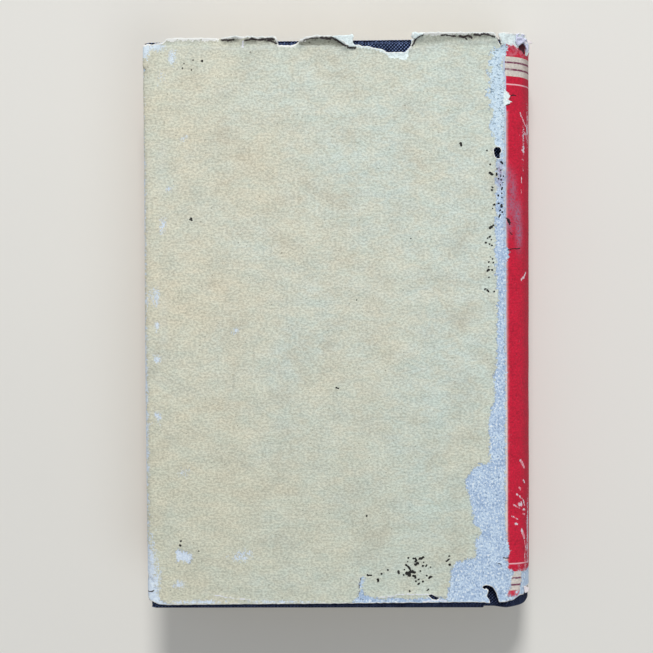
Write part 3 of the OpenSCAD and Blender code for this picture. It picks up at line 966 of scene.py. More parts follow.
# Each crease has its places, its half width and its height
CREASES = [
    ([(88.3, 90.6), (92, 91.4), (97, 92.1), (101, 92.4), (108, 92.8), (116.5, 93.2)], 0.35, 0.22),
    ([(2, 92), (12, 91.6), (24, 92.1), (36, 91.7), (44, 92.2)], 0.4, 0.12),
    ([(50, 92.2), (56, 92.2), (62, 92.1), (68.5, 91.8)], 0.3, 0.15),
    ([(71, -84.8), (70.6, -88), (70.2, -91)], 0.3, 0.14),
    ([(77, -92.2), (81.6, -91.6), (84.3, -91.1), (87.6, -91.1), (94, -91.3), (100.1, -91.8)], 0.32, 0.2),
    ([(120.2, 70), (120.1, 30), (120.3, -20), (120.1, -60), (120.3, -92)], 0.45, 0.12),
    ([(6, 60), (7, 30), (6.2, 0), (7.5, -40), (6.4, -80)], 0.5, 0.06),
    ([(116.5, -80.5), (117.9, -80.8), (118.9, -81.9), (119.5, -83.6), (119.9, -84.9)], 0.3, 0.25),
    ([(17.8, -90.3), (21.8, -91.3), (27.6, -92.3), (33.7, -93)], 0.25, 0.1),
]
# Cracks, and painted shadow lines under the raised lips and the folded corner, each with its places and its
# half width
CRACKS_AND_SHADOW_LINES = [
    ([(120.6, 24.4), (122.1, 24.6), (123.5, 24.8), (126, 24.9)], 0.26),
    ([(120.1, 34.9), (121.1, 34.2), (121.9, 33.3)], 0.24),
    ([(121.2, 30.3), (122.4, 29.5)], 0.26),
    ([(121.9, 75.4), (122.9, 75.6), (124.2, 75.5)], 0.26),
    ([(121.9, 74.9), (121.4, 74)], 0.2),
    ([(120, 72.1), (121.4, 72.5)], 0.2),
    ([(117.2, 94.3), (117.8, 93.3), (118.3, 92)], 0.3),
    ([(26, 94.7), (28.2, 94.3), (30.2, 94.7)], 0.34),
    ([(34, 94.3), (36.2, 94.7), (38.2, 94.4), (40.2, 94.6), (42.2, 94.7), (43.5, 94.5)], 0.4),
    ([(41.3, 94.2), (42.8, 93.8), (44.5, 93.2)], 0.3),
    ([(53.4, 94.1), (56, 94.7), (58.7, 94.8)], 0.2),
    ([(58.7, 94.8), (60.4, 94.7), (62.2, 94.5)], 0.46),
    ([(62.4, 94.9), (64, 94.2), (65.3, 93.3), (67, 92.2), (68.3, 91.6), (70.4, 91.5)], 0.42),
    ([(92.7, 95.3), (91.1, 94.8), (90.4, 93.9), (89.7, 92.7), (89.2, 92)], 0.34),
    ([(98.6, 95.2), (100.6, 95.1), (103.5, 94.8)], 0.3),
    ([(104.6, 94.9), (106, 94.5), (107.6, 94.9), (108.8, 94.3)], 0.42),
    ([(106.6, 94.3), (107.2, 93.6)], 0.26),
    ([(109.5, 95.2), (111.5, 94.9), (112.6, 95.2), (114.5, 95)], 0.42),
    ([(114.7, 94.9), (116.2, 94.3)], 0.34),
    ([(71.2, -85.5), (70.6, -87.9), (70.7, -90), (69.8, -91.8), (70.3, -92.5), (72.1, -93)], 0.14),
    ([(116.5, -80.5), (117.9, -80.8), (118.6, -81.6)], 0.18),
    ([(119, -78.8), (120.8, -79)], 0.24),
    ([(-0.8, -90), (0.5, -89.9), (1.3, -89.5)], 0.26),
]

# Thin white streaks and flecks, mostly on the spine, each with its half width
STREAKS = [
    ([(126.1, 70), (127.8, 67.8), (130.2, 65.7)], 0.26),
    ([(129, 63.9), (130.6, 61.7)], 0.3),
    ([(126.9, 57.7), (128.5, 57.2)], 0.3),
    ([(126.8, 48.6), (127, 46.9)], 0.2),
    ([(126.6, 44.6), (127, 43.4)], 0.16),
    ([(126.8, 14.5), (128.4, 15.3), (129.7, 16.7)], 0.4),
    ([(126.2, -46.5), (127.2, -47.5), (128.6, -49.1)], 0.5),
    ([(127.8, -53.3), (128.8, -54.3)], 0.28),
    ([(125.6, -55.6), (126.2, -56.2)], 0.4),
    ([(124.2, -57.7), (124.6, -58)], 0.34),
    ([(124.6, -58), (125.9, -58.7), (127.6, -59.8)], 0.18),
    ([(122.8, -61.2), (124.1, -61.8), (125.9, -62.7)], 0.18),
    ([(125.5, -61.4), (126.7, -61.5)], 0.75),
    ([(127.8, -60.2), (128.7, -62)], 0.3),
    ([(127.8, -63.3), (129.1, -63.6)], 0.36),
    ([(127.6, -64.8), (128.8, -65.1)], 0.32),
    ([(122.1, -64.9), (123.4, -65.4), (124.8, -66.3)], 0.16),
    ([(123.6, -67.6), (124.6, -68)], 0.32),
    ([(126.9, -70.2), (127.8, -71.4), (128.7, -73.1)], 0.6),
    ([(128.9, -74.2), (129.6, -76.7), (128.9, -79.3), (129.5, -82.1), (129.2, -84.8)], 0.24),
    ([(120.7, 90.9), (121.5, 91.8), (122.3, 92.1), (123.1, 91.7), (124, 91.2), (124.9, 90.9)], 0.2),
    ([(33.2, 94), (33, 93.2), (33.1, 92.2)], 0.3),
    ([(92, -93.6), (96.5, -93.2), (100, -93.5)], 0.25),
    ([(21.8, -91.3), (27.6, -92.3), (33.7, -93)], 0.14),
    ([(77, -92.3), (81.6, -91.7), (84.3, -91.1), (87.6, -91.1), (94, -91.2)], 0.16),
]

# Black specks: short strokes with their half widths, then dots as out, along and radius
SPECK_STROKES = [
    ([(114.8, 49.9), (115.4, 49.4)], 0.27), ([(118.4, 53.5), (118.9, 53)], 0.2),
    ([(116.9, 49.7), (117, 49.1)], 0.18), ([(118.8, 44.9), (118.6, 44.4)], 0.17),
    ([(118.5, 39.1), (118.5, 38.7)], 0.27), ([(117.7, 35.3), (118.1, 36)], 0.17),
    ([(114.7, 31.7), (115.4, 32)], 0.27), ([(113.9, 17.6), (114.4, 17.8)], 0.25),
    ([(113.8, 11), (114.2, 10.6)], 0.21), ([(86.3, -81.1), (87.2, -81.8), (87.8, -82.9)], 0.21),
    ([(86.6, -83.9), (87.6, -84.5)], 0.42), ([(87.5, -83.6), (88.5, -83.3), (89.1, -83.7)], 0.31),
    ([(88.7, -84.8), (89.4, -84.9), (89.5, -85.6)], 0.23),
    ([(89.5, -78.9), (89.8, -79.5), (89.6, -80)], 0.23), ([(89.6, -81), (90.2, -80.6)], 0.31),
    ([(90.9, -79.1), (91.6, -78.9), (92.1, -78.6)], 0.25), ([(93, -81.7), (93.3, -81.2)], 0.17),
    ([(94.1, -85.6), (94.7, -85.2)], 0.25), ([(90.4, -87.7), (90.7, -87.5)], 0.21),
    ([(83.8, -83.4), (83.9, -83.8)], 0.27), ([(99.9, -79.9), (100.8, -79.3)], 0.17),
    ([(93.4, -89.8), (93.9, -89.4)], 0.15), ([(15.2, 35.7), (15.4, 35.1)], 0.2),
    ([(63.3, -21.2), (63.9, -21.5)], 0.18), ([(105.1, 59.8), (105.3, 59)], 0.25),
    ([(76.8, -86.1), (76.9, -86.6)], 0.24), ([(73.3, -84.6), (74.7, -84.7)], 0.18),
    ([(120.6, 34.2), (120.9, 33.6)], 0.24),
]
SPECK_DOTS = [
    (115.5, 45.1, 0.21), (115.4, 44.2, 0.25), (116.2, 39.4, 0.27), (115.6, 38.1, 0.17), (114.8, 52.7, 0.21),
    (117.1, 51.2, 0.18), (118.4, 50.7, 0.16), (117.6, 48, 0.19), (119.2, 48.7, 0.17), (118.4, 47.6, 0.18),
    (119, 46.7, 0.16), (118.2, 45.9, 0.16), (117.5, 42.4, 0.19), (118.7, 43.1, 0.18), (118.7, 41.8, 0.19),
    (117.6, 39.8, 0.21), (118.1, 37.5, 0.21), (118.8, 36.9, 0.21), (115.8, 32.6, 0.21), (114.7, 28.8, 0.25),
    (113.9, 28.3, 0.17), (115.1, 27.8, 0.17), (113.4, 26.8, 0.24), (114.6, 26.4, 0.18), (115.3, 25.9, 0.19),
    (114.3, 20.4, 0.24), (115.5, 21.4, 0.18), (115.8, 20.2, 0.19), (114.3, 18.8, 0.17), (115.4, 17.7, 0.21),
    (114.3, 15.3, 0.19), (116.1, 10.5, 0.19), (87.2, -78.8, 0.21), (88.9, -79, 0.21), (92.3, -80.3, 0.19),
    (92, -81.5, 0.23), (94.6, -81.9, 0.15), (91.1, -83.2, 0.21), (93.3, -84.8, 0.21), (89.6, -86.7, 0.21),
    (90.6, -86.1, 0.21), (92, -86.8, 0.23), (85.5, -84.6, 0.19), (100.9, -78.2, 0.21), (101, -81.1, 0.27),
    (87.5, -90, 0.21), (86.9, -80, 0.15), (85.8, -82.7, 0.15), (19.5, 87.8, 0.24), (16.5, 88.1, 0.14),
    (13.5, 87, 0.14), (12.9, 85.4, 0.19), (15.9, 84.9, 0.17), (10.5, -72.9, 0.25), (10.2, -74.4, 0.27),
    (14.8, 35.3, 0.15), (73.3, -64.5, 0.22), (80.2, -82.9, 0.2), (78.1, -84.2, 0.22), (16.5, -76.3, 0.16),
    (121.3, 33, 0.22), (113.8, 57.3, 0.18), (88.5, 28.4, 0.16), (70.3, 8, 0.14),
]
SPECKS = SPECK_STROKES + [([(out, along)], radius) for out, along, radius in SPECK_DOTS]

# Soft marks, each given as out, along, two radii and strength. Peppered places hold tiny specks.
PEPPERED = [
    (118, 48, 1.9, 6, 0.98), (116.8, 36, 2.4, 7.5, 0.76), (114.6, 24, 2.6, 7.5, 0.74),
    (113.4, 10, 2.4, 9, 0.7), (113.4, -4, 2.4, 9, 0.64), (114.6, -24, 1.6, 5, 0.6),
    (113.3, -33, 1.4, 4, 0.7), (88.6, -83, 6, 5, 0.66), (115, 78, 2.6, 10, 0.72), (117.2, 86, 2.6, 4, 0.6),
    (117.2, 68, 2, 6, 0.6), (118, -82, 2.2, 2.4, 0.5),
]
SCUFFS = [
    (31.1, -77.7, 5, 1.8, 0.85), (11.8, -49.8, 1.8, 2.4, 0.75), (9.5, -87.5, 2.6, 1.8, 0.82),
    (0.2, -82, 1.2, 14, 1), (2.2, -84, 1.4, 9, 0.8), (-0.6, -30, 0.9, 60, 0.9), (0.6, 91.5, 1.6, 3.4, 1),
    (4, 92.7, 4, 0.9, 0.95), (6.4, 33.6, 1.4, 3.4, 0.84), (9.5, 88.9, 1.4, 2.8, 0.9),
    (2.4, 9.6, 1.7, 4.2, 0.92), (2.8, -0.6, 1.1, 2, 0.92), (2.8, -11.8, 1.1, 2.4, 0.98),
    (12.9, 62.3, 1.5, 1.2, 0.74), (8.9, 45.4, 1.1, 2.4, 0.74), (6, 82.5, 2.2, 2.4, 0.6),
    (3, -30.8, 1.2, 2.4, 0.84), (29.5, -2.4, 1.1, 0.9, 0.75), (4, 92.4, 4, 1.8, 0.66),
    (-0.2, 40, 0.8, 60, 0.6), (-0.2, -50, 0.8, 40, 0.62), (16, -93.6, 12, 0.9, 0.72),
    (44, -93.6, 18, 0.7, 0.62), (84, 94, 5, 1, 0.5), (128, 60, 1, 12, 0.5), (131.4, 66, 0.8, 9, 0.74),
    (131.4, -20, 0.6, 50, 0.2), (131.4, -72, 0.9, 16, 0.78), (126, -84, 4, 3, 0.45),
    (124.5, -91, 2.2, 0.8, 0.62),
]
GRIME = [
    (120.7, 48.5, 1.6, 3, 0.85), (122.7, 44.3, 1.6, 4.5, 0.8), (122.2, 39.3, 2.2, 4, 0.75),
    (124.8, 36, 1.9, 4.5, 0.95), (125.6, 30, 1.6, 5, 1), (121.2, 32.6, 1.4, 3, 0.7),
    (118.1, 50.6, 1.2, 2.6, 0.9), (118.1, 47.4, 1.3, 2.6, 0.8),
]
# Painted shade on the lips that stand up along the head edge, as soft marks
PAINTED_LIP_SHADE_MARKS = [
    (29, 94.2, 3.2, 0.9, 0.8), (36, 94.2, 3.4, 0.8, 0.95), (41.5, 94.2, 2.6, 0.8, 1),
    (44.2, 93.6, 0.9, 1, 0.8), (97, 94, 8, 1.6, 0.4), (106, 94.8, 6, 0.9, 0.85),
    (113, 94.8, 3.4, 0.8, 0.75), (8, 94.2, 4, 0.4, 0.6), (20, 94.6, 5, 0.5, 0.6),
    (123.7, 93.6, 0.8, 1, 0.5), (0.4, 93, 0.6, 1.6, 0.6),
]


# Patches with the step, the jitter and the seed of their ragged edges
WORN_PATCHES = [
    (RUBBED_PATCH, 0.7, 0.5, 4.0), (TAIL_STRIP, 0.6, 0.25, 5.0), (SPINE_TAIL_WEAR, 0.6, 0.25, 6.0),
    (CORNER_CHIP, 0.6, 0.3, 8.0), (LEFT_SCUFF, 0.5, 0.3, 15.0),
]
RIPPED_PATCHES = [
    (NOTCH_RIP, 0.5, 0.2, 9.0), (NOTCH_STRIP, 0.5, 0.15, 10.0), (SPINE_HEAD_RIP, 0.4, 0.15, 16.0),
    (SPINE_CHIP, 0.3, 0.12, 3.0),
]

# Stretches of the head edge, first and last place out, and how wide the white core shows there
RIM_WIDTHS = [
    (-2, 7, 1.1), (7, 26, 1.9), (24, 46, 1.2), (46, 52, 1.3), (52, 68, 1.6), (88.5, 116, 1.6),
    (117.5, 132, 0.9),
]

# Distances into a patch or away from it are cut off here
PATCH_REACH = 6
# How far the sheets stop short of the section's ends
END_GAP = 0.01
# Specks are drawn a little wider than they are placed, since the grain eats into them
SPECK_SPREAD = 1.55


def jacket_section(sizes):
    """The jacket's outer face over a cover: flap, fore-edge, panel, then round the spine."""
    lowest = jacket_low.z - MIDDLE
    fold = sizes.jacket_fold / MM
    flap_end = FORE + sizes.flap_width / MM
    section = Section([(flap_end, lowest), (FORE, lowest), (FORE, MIDDLE), (FOLD, MIDDLE)], [fold, fold])
    section.add_arc(SPINE_CENTRE, JACKET_RADIUS, FOLD_ANGLE, -FOLD_ANGLE)
    fold_at = np.argmin(np.linalg.norm(section.points - np.array([FOLD, MIDDLE]), axis=1))
    section.start = FOLD_OUT - section.places[fold_at]
    section.measure()
    return section


def torn_edge(places, seed, jitter, first, last):
    """A torn edge along the sheet, kept between two places out."""
    return [(min(max(x, first), last), y) for x, y in ragged(places, 0.45, jitter, seed)]


def rim_share(places):
    """How wide the white core shows along a torn edge: widest on the raised lips of the head."""
    out, along = places[:, 0], places[:, 1]
    share = np.full(len(places), 0.5)
    for first, last, width in RIM_WIDTHS:
        share = np.maximum(share, width * window(out, first, last, 0.8))
    tail = 0.4 + 0.6 * np.clip(waves(places, 4.0, 17.0), 0, 1)
    return np.where(along < 80, tail, share)


def patch_depth(places, patches):
    """The deepest distance inside any of some ragged patches."""
    return np.max([Line(ragged(*patch, True)).signed(places) for patch in patches], axis=0)


def nearest_stroke(points, strokes, jitter=0.0):
    """Distance to the nearest of many short lines, and the half width of that line."""
    samples, widths = [], []
    for line, width in strokes:
        broken = ragged(line, 0.6, jitter, 7.0)
        for a, b in zip(broken, broken[1:] or broken):
            a, b = Vector(a), Vector(b)
            count = max(1, math.ceil((b - a).length / 0.1))
            samples += [a.lerp(b, k / count) for k in range(count + 1)]
            widths += [width] * (count + 1)
    tree = KDTree(len(samples))
    for index, sample in enumerate(samples):
        tree.insert((*sample, 0), index)
    tree.balance()
    found = [tree.find((x, y, 0)) for x, y in points]
    return np.array([hit[2] for hit in found]), np.array(widths)[[hit[1] for hit in found]]


def line_marks(places, strokes, jitter=0.0):
    """Soft marks along lines, each given by its corners and half width."""
    apart, width = nearest_stroke(places, strokes, jitter)
    return np.exp(-((apart / width) ** 2))


def jacket_fields(places, outline, holes):
    """The wear, and the painted shade, at each point of the sheet, for its material."""
    rim = np.min([line.distance(places) for line in (outline, *holes)], axis=0)
    worn = patch_depth(places, WORN_PATCHES)
    ripped = patch_depth(places, RIPPED_PATCHES)
    # Painted shade: deep shade under the crumpled scrap at the spine's head, and olive shade on the raised
    # lips of the head edge.
    scrap_shadow = soft_step(patch_depth(places, [(SCRAP_SHADOW, 0.4, 0.12, 18.0)]), -0.15, 0.25)
    shade = patch_depth(places, [(ARCH_SHADE, 0.5, 0.15, 19.0)])
    lip_shade = patch_depth(places, [(LIP_SHADE, 0.6, 0.2, 20.0)])
    soil = np.maximum(soft_step(shade, -0.1, 0.3), 0.45 * soft_step(lip_shade, -0.2, 1.0))
    specks = [(line, SPECK_SPREAD * width) for line, width in SPECKS]
    return {
        "worn": np.clip(worn, -PATCH_REACH, PATCH_REACH),
        "ripped": np.clip(ripped, -PATCH_REACH, PATCH_REACH),
        "rim": rim / rim_share(places),
        "crease": line_marks(places, [mark[:2] for mark in CREASES], 0.35),
        "crack": np.maximum(line_marks(places, CRACKS_AND_SHADOW_LINES, 0.2), scrap_shadow),
        "streak": line_marks(places, STREAKS, 0.2),
        "speck": line_marks(places, specks),
        "peppered": blobs(places, PEPPERED),
        "scuff": blobs(places, SCUFFS),
        "grime": blobs(places, GRIME),
        "soil": np.maximum(soil, blobs(places, PAINTED_LIP_SHADE_MARKS)),
    }


def head_height(out):
    """How far along the head edge lies, without its fraying."""
    corners = np.array(HEAD_EDGE)
    order = np.argsort(corners[:, 0], kind="stable")
    return np.interp(out, corners[order, 0], corners[order, 1])


def jacket_relief(places, fields):
    """How far the paper stands off the folded section, in millimetres."""
    out, along = places[:, 0], places[:, 1]
    panel = window(out, 1.5, LAST_OUT - 2, 1.0)
    # The paper lies a little uneven all over
    relief = panel * (0.08 + 0.1 * (0.6 + waves(places, 34, 1.0)) + 0.06 * waves(places, 9, 2.0))
    # Lips of the head edge stand up, and one of them is wrinkled
    depth_in = head_height(out) - along
    for first, last, reach, height in LIPS:
        rise = np.clip(1 - depth_in / reach, 0, 1.6) ** 1.5
        relief += height * window(out, first, last, 1.1) * rise
    wrinkled = window(out, 28, 44.5, 1.5) * np.clip(1 - depth_in / 3.2, 0, 1)
    relief += wrinkled * (0.5 + 0.9 * waves(places, 1.7, 3.0))
    # The spine's head is crumpled
    crumpled = window(out, 117.5, 136, 1.2) * soft_step(along, 89.5, 93.0)
    folds = 1 - 2 * np.abs(waves(places, 2.6, 5.0))
    relief += crumpled * (0.25 + 0.3 * folds)
    # The fold at the fore-edge stands off, most towards the tail
    toward_tail = soft_step(-along, -70, 40)
    fold = window(out, -4.0, 1.2, 0.9)
    relief += fold * (0.4 + 0.55 * toward_tail + 0.12 * waves(places, 5.0, 8.0))
    # The tail edge lifts a little, and creases stand up as ridges
    tail_near = np.clip(1 - (along + 94.2) / 2.4, 0, 1)
    relief += panel * tail_near * (0.18 + 0.25 * waves(places, 5.0, 6.0))
    for line, width, height in CREASES:
        apart = Line(line, closed=False).distance(places)
        relief += panel * height * np.exp(-((apart / (1.6 * width)) ** 2))
    # The hole's rim stands up, and rubbed paper is thinner
    rub = Line(RUB_HOLE).distance(places)
    relief += 0.25 * np.exp(-((rub / 0.8) ** 2))
    relief -= np.where(fields["worn"] > 0.2, 0.05, 0.0) * panel
    # The flap stays flat between the cover and the pages
    relief = np.where(out < -3, 0.0, relief)
    return np.maximum(relief, 0.0)


def refine_back_sheet(bm, outline, holes):
    """Cuts the sheet's faces finer, in four rounds, where its wear or its folds turn sharply."""
    edges = (outline, *holes)
    patches = [Line(ragged(*WORN_PATCHES[0], True)), Line(LEFT_SCUFF), Line(TAIL_STRIP)]
    small = [Line(shape) for shape in (SPINE_CHIP, SCRAP_SHADOW, NOTCH_RIP)]

    def near_wear(middles, edge, patch, mark, speck):
        """Faces that lie closer than this to an edge, a rubbed patch, a crack, a painted shadow or a speck.
        """
        near = np.min([line.distance(middles) for line in edges], axis=0) < edge
        near |= np.min([line.distance(middles) for line in patches], axis=0) < patch
        near |= np.min([line.distance(middles) for line in small], axis=0) < mark
        near |= nearest_stroke(middles, CRACKS_AND_SHADOW_LINES + STREAKS)[0] < mark
        return near | (nearest_stroke(middles, SPECKS)[0] < speck)

    def between(middles, first, last):
        """Faces between two places out."""
        return window(middles[:, 0], first, last, 0.01) > 0.5

    refine(bm, lambda m: between(m, 96, 139) | (m[:, 1] > 87) | near_wear(m, 5, 3, 3, 2.5))
    refine(bm, lambda m: between(m, 116, 122.4) | between(m, -4.6, 1.4)
           | (m[:, 1] > 90.5) & (m[:, 0] > 18) | near_wear(m, 2.4, 1.4, 1.6, 1.2))
    refine(bm, lambda m: near_wear(m, 0.8, 0.5, 0.8, 0.75))
    refine(bm, lambda m: nearest_stroke(m, SPECKS)[0] < 0.45)


def build_jacket_back(sizes, colours):
    """The jacket's back flap, back panel and spine, as one sheet folded at the joint."""
    section = jacket_section(sizes)
    first, last = section.start + END_GAP, LAST_OUT - 2 * END_GAP
    head = torn_edge(HEAD_EDGE, 11.0, 0.28, first, last)
    tail = torn_edge(TAIL_EDGE, 12.0, 0.16, first, last)
    outline = Line(tail + head[::-1])
    holes = [Line(ragged(RUB_HOLE, 0.4, 0.15, 13.0, True)), Line(ragged(SMALL_TEAR, 0.3, 0.1, 14.0, True))]
    step = sizes.grid_step / MM
    bm = flat_grid((first, JACKET_TAIL - 1.2), (last, JACKET_HEAD + 2.4), (step, step))
    refine_back_sheet(bm, outline, holes)
    trim(bm, outline, holes)
    places = flat_places(bm)
    fields = jacket_fields(places, outline, holes)
    keep_fields(bm, fields)
    keep_sheet_map(bm, places)
    fold_sheet(bm, section, places, jacket_relief(places, fields))
    piece = piece_from(bm, "jacket_back", [
        jacket_face("jacket_back_print", colours, True),
        bare_paper("jacket_reverse", colours.rubbed),
        bare_paper("jacket_torn_edge", colours.torn),
    ])
    thicken(piece, sizes.jacket_thickness, 1, 2)
    # The slight rise keeps the sheet's other end, at the front joint, wholly on the block
    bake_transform(piece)
    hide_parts("jacket_back_panel", "jacket_spine")


class BOOK_OT_jacket_back(bpy.types.Operator):
    """Make the jacket's back and spine: one torn and rubbed sheet that bends at the joint."""

    bl_idname = "book.jacket_back"
    bl_label = "Jacket Back and Spine"

    def execute(self, context):
        build_jacket_back(context.scene.book_sizes, context.scene.book_colours)
        return {"FINISHED"}


# Torn scraps of the jacket that stand off the sheet. The functions give their heights.

FOLDED_CORNER = [
    (62.4, 95.1), (64, 95.3), (66.3, 95.4), (68.7, 95.5), (69.3, 95.8), (69.9, 95.1), (69.5, 94.2),
    (69.6, 93), (70.7, 91.9), (69.3, 91.7), (68.3, 91.8), (67, 92.5), (65.3, 93.5), (64, 94.4),
]
NOTCH_CURL = [
    (88.8, 94.6), (89.1, 96), (90.1, 96.2), (91.1, 95.8), (92.4, 95.8), (92.9, 95.4), (91.4, 94.9),
    (90.4, 94.1), (89.7, 94.2),
]
SPINE_HEAD_SCRAP = [
    (123.6, 95.6), (125.6, 95.9), (127.4, 95.8), (128.8, 94.6), (129.8, 92.4), (129.8, 90.4), (128.9, 90.3),
    (128.4, 91.6), (127.6, 92.8), (126.7, 93.3), (125.6, 92.6), (124.7, 91.9), (123.8, 92.5), (123, 93.2),
    (123.3, 94.4),
]
SPINE_HEAD_POINT = [
    (127.6, 93.6), (129, 94.3), (131, 94.5), (132.8, 94), (130.8, 93.3), (128.6, 92.9),
]
SPINE_TAIL_POINT = [
    (127.8, -89.4), (129.2, -89.8), (131.2, -90.9), (130.2, -92), (128.8, -92.2), (128.3, -91),
]


def build_scrap(name, outline, lift, seed, finish, body, sizes):
    """A small torn scrap on the jacket's back sheet. lift gives its height from its places."""
    edge = Line(ragged(outline, 0.4, 0.1, seed, True))
    corners = np.array(edge.corners)
    bm = flat_grid(corners.min(0) - 0.5, corners.max(0) + 0.5, (0.3, 0.3))
    trim(bm, edge, [])
    places = flat_places(bm)
    keep_sheet_map(bm, places)
    fold_sheet(bm, jacket_section(sizes), places, lift(places))
    piece = piece_from(bm, name, [bpy.data.materials[finish]])
    thicken(piece, sizes.jacket_thickness)
    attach(piece, body)


def folded_corner_lift(places):
    """A corner folded over: highest at the head."""
    down = np.clip((95.5 - places[:, 1]) / 3.8, 0, 1)
    return 1.95 - 0.9 * down + 0.12 * waves(places, 3.0, 21.0)


def notch_curl_lift(places):
    """A curl that rises towards the head."""
    return 1.7 + 0.35 * (places[:, 1] - 95) + 0.2 * waves(places, 1.8, 22.0)


def spine_scrap_lift(places):
    """Sharp crumples."""
    folds = 1 - 2.4 * np.abs(waves(places, 1.6, 23.0))
    return 0.75 + 0.55 * folds + 0.25 * waves(places, 0.7, 26.0)


def spine_point_lift(places):
    """A point that curls up towards its tip."""
    return 0.9 + 0.3 * np.clip(places[:, 0] - 129.5, 0, 6) + 0.2 * waves(places, 1.9, 24.0)


def spine_tail_lift(places):
    """The lower point at the spine's tail."""
    return 0.35 + 0.3 * np.clip(places[:, 0] - 129.0, 0, 5) + 0.2 * waves(places, 1.9, 25.0)


# Each scrap's name, outline, height, seed, material and body
SCRAPS = (
    ("folded_corner", FOLDED_CORNER, folded_corner_lift, 31.0, "jacket_torn_paper", "back_cover"),
    ("notch_curl", NOTCH_CURL, notch_curl_lift, 32.0, "jacket_torn_paper", "back_cover"),
    ("spine_head_scrap", SPINE_HEAD_SCRAP, spine_scrap_lift, 33.0, "jacket_crumpled_paper", "text_block"),
    ("spine_head_point", SPINE_HEAD_POINT, spine_point_lift, 34.0, "jacket_curled_tip", "text_block"),
    ("spine_tail_point", SPINE_TAIL_POINT, spine_tail_lift, 35.0, "jacket_curled_tip", "text_block"),
)


class BOOK_OT_torn_scraps(bpy.types.Operator):
    """Make the torn scraps that stand up from the jacket's head and spine."""

    bl_idname = "book.torn_scraps"
    bl_label = "Torn Scraps"

    def execute(self, context):
        sizes, colours = context.scene.book_sizes, context.scene.book_colours
        bare_paper("jacket_torn_paper", colours.torn)
        bare_paper("jacket_crumpled_paper", srgb(210, 214, 238))
        bare_paper("jacket_curled_tip", srgb(238, 232, 236))
        for scrap in SCRAPS:
            build_scrap(*scrap, sizes)
        return {"FINISHED"}


# Jacket over the front cover, which the book lies on

FRONT_HEAD = [
    (-79, 95.5), (-5, 95.5), (-0.5, 94.8), (2, 95.2), (20, 95.6), (42, 95.3), (60, 95.6), (77, 95.4),
    (79, 94.6), (82, 95.5), (104, 95.6), (116, 95.2), (120.2, 95.5),
]
FRONT_TAIL = [
    (-79, -94.1), (-5, -94.1), (-0.5, -93.2), (1.6, -93.9), (30, -94.1), (64, -93.9), (96, -94.1),
    (98, -93.2), (100, -94.1), (117, -93.9), (120.2, -94.1),
]
FRONT_SCUFFS = [
    (0.4, 0, 1.2, 90, 0.52), (3, 93.6, 5, 2, 0.75), (3, -92.6, 5, 2, 0.8), (119, 40, 1.4, 50, 0.5),
    (118.6, -50, 1.5, 40, 0.55), (60, 95.2, 30, 0.8, 0.5), (50, -93.8, 40, 0.8, 0.52),
    (97, -92.6, 3, 1.5, 0.8),
]


def build_jacket_front(sizes, colours):
    """The jacket's front panel and flap, with little wear."""
    section = jacket_section(sizes)
    first, last = section.start + END_GAP, FOLD_OUT - 2 * END_GAP
    head = torn_edge(FRONT_HEAD, 41.0, 0.16, first, last)
    tail = torn_edge(FRONT_TAIL, 42.0, 0.14, first, last)
    outline = Line(tail + head[::-1])
    bm = flat_grid((first, JACKET_TAIL - 0.6), (last, JACKET_HEAD + 0.6), (2.4, 2.4))
    refine(bm, lambda m: window(m[:, 0], -4.6, 2.4, 0.01) > 0.5)
    refine(bm, lambda m: outline.distance(m) < 2.6)
    refine(bm, lambda m: window(m[:, 0], -4.6, 1.2, 0.01) > 0.5)
    trim(bm, outline, [])
    places = flat_places(bm)
    zero = np.zeros(len(places))
    fields = dict.fromkeys(("crease", "crack", "speck", "peppered", "streak", "grime", "soil"), zero)
    fields.update(worn=zero - PATCH_REACH, ripped=zero - PATCH_REACH,
                  rim=2 * outline.distance(places), scuff=blobs(places, FRONT_SCUFFS))
    keep_fields(bm, fields)
    keep_sheet_map(bm, places)
    fold_sheet(bm, section, places, zero, upper=False)
    piece = piece_from(bm, "jacket_front", [
        jacket_face("jacket_front_print", colours, False),
        bare_paper("jacket_front_reverse", colours.rubbed),
        bare_paper("jacket_front_edge", colours.torn),
    ])
    thicken(piece, sizes.jacket_thickness, 1, 2)
    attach(piece, "front_cover")
    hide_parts("jacket_front_panel")


class BOOK_OT_jacket_front(bpy.types.Operator):
    """Make the jacket's front panel and flap."""

    bl_idname = "book.jacket_front"
    bl_label = "Jacket Front"

    def execute(self, context):
        build_jacket_front(context.scene.book_sizes, context.scene.book_colours)
        return {"FINISHED"}


# Book cloth: a cover's cloth, its joint and half of the spine in one sheet, turned in on three sides

# Rows of the cloth's points: on the turn-in, on each rounded edge, on the cover's edge, between them
TURN_ROWS, ARC_ROWS, WALL_ROWS, MIDDLE_ROWS = 5, 4, 3, 72
# Points along the section at which the cloth's depth is worked out
DEPTH_SAMPLES = 3000
# Cloth turned in at the spine, where no board holds it
SPINE_TURN_IN = 12
# Rounding of the cloth's corners at the spine, seen from above
SPINE_CORNER = 3.2
# The middle rows keep this far from the rounded edges
EDGE_GAP = 0.6


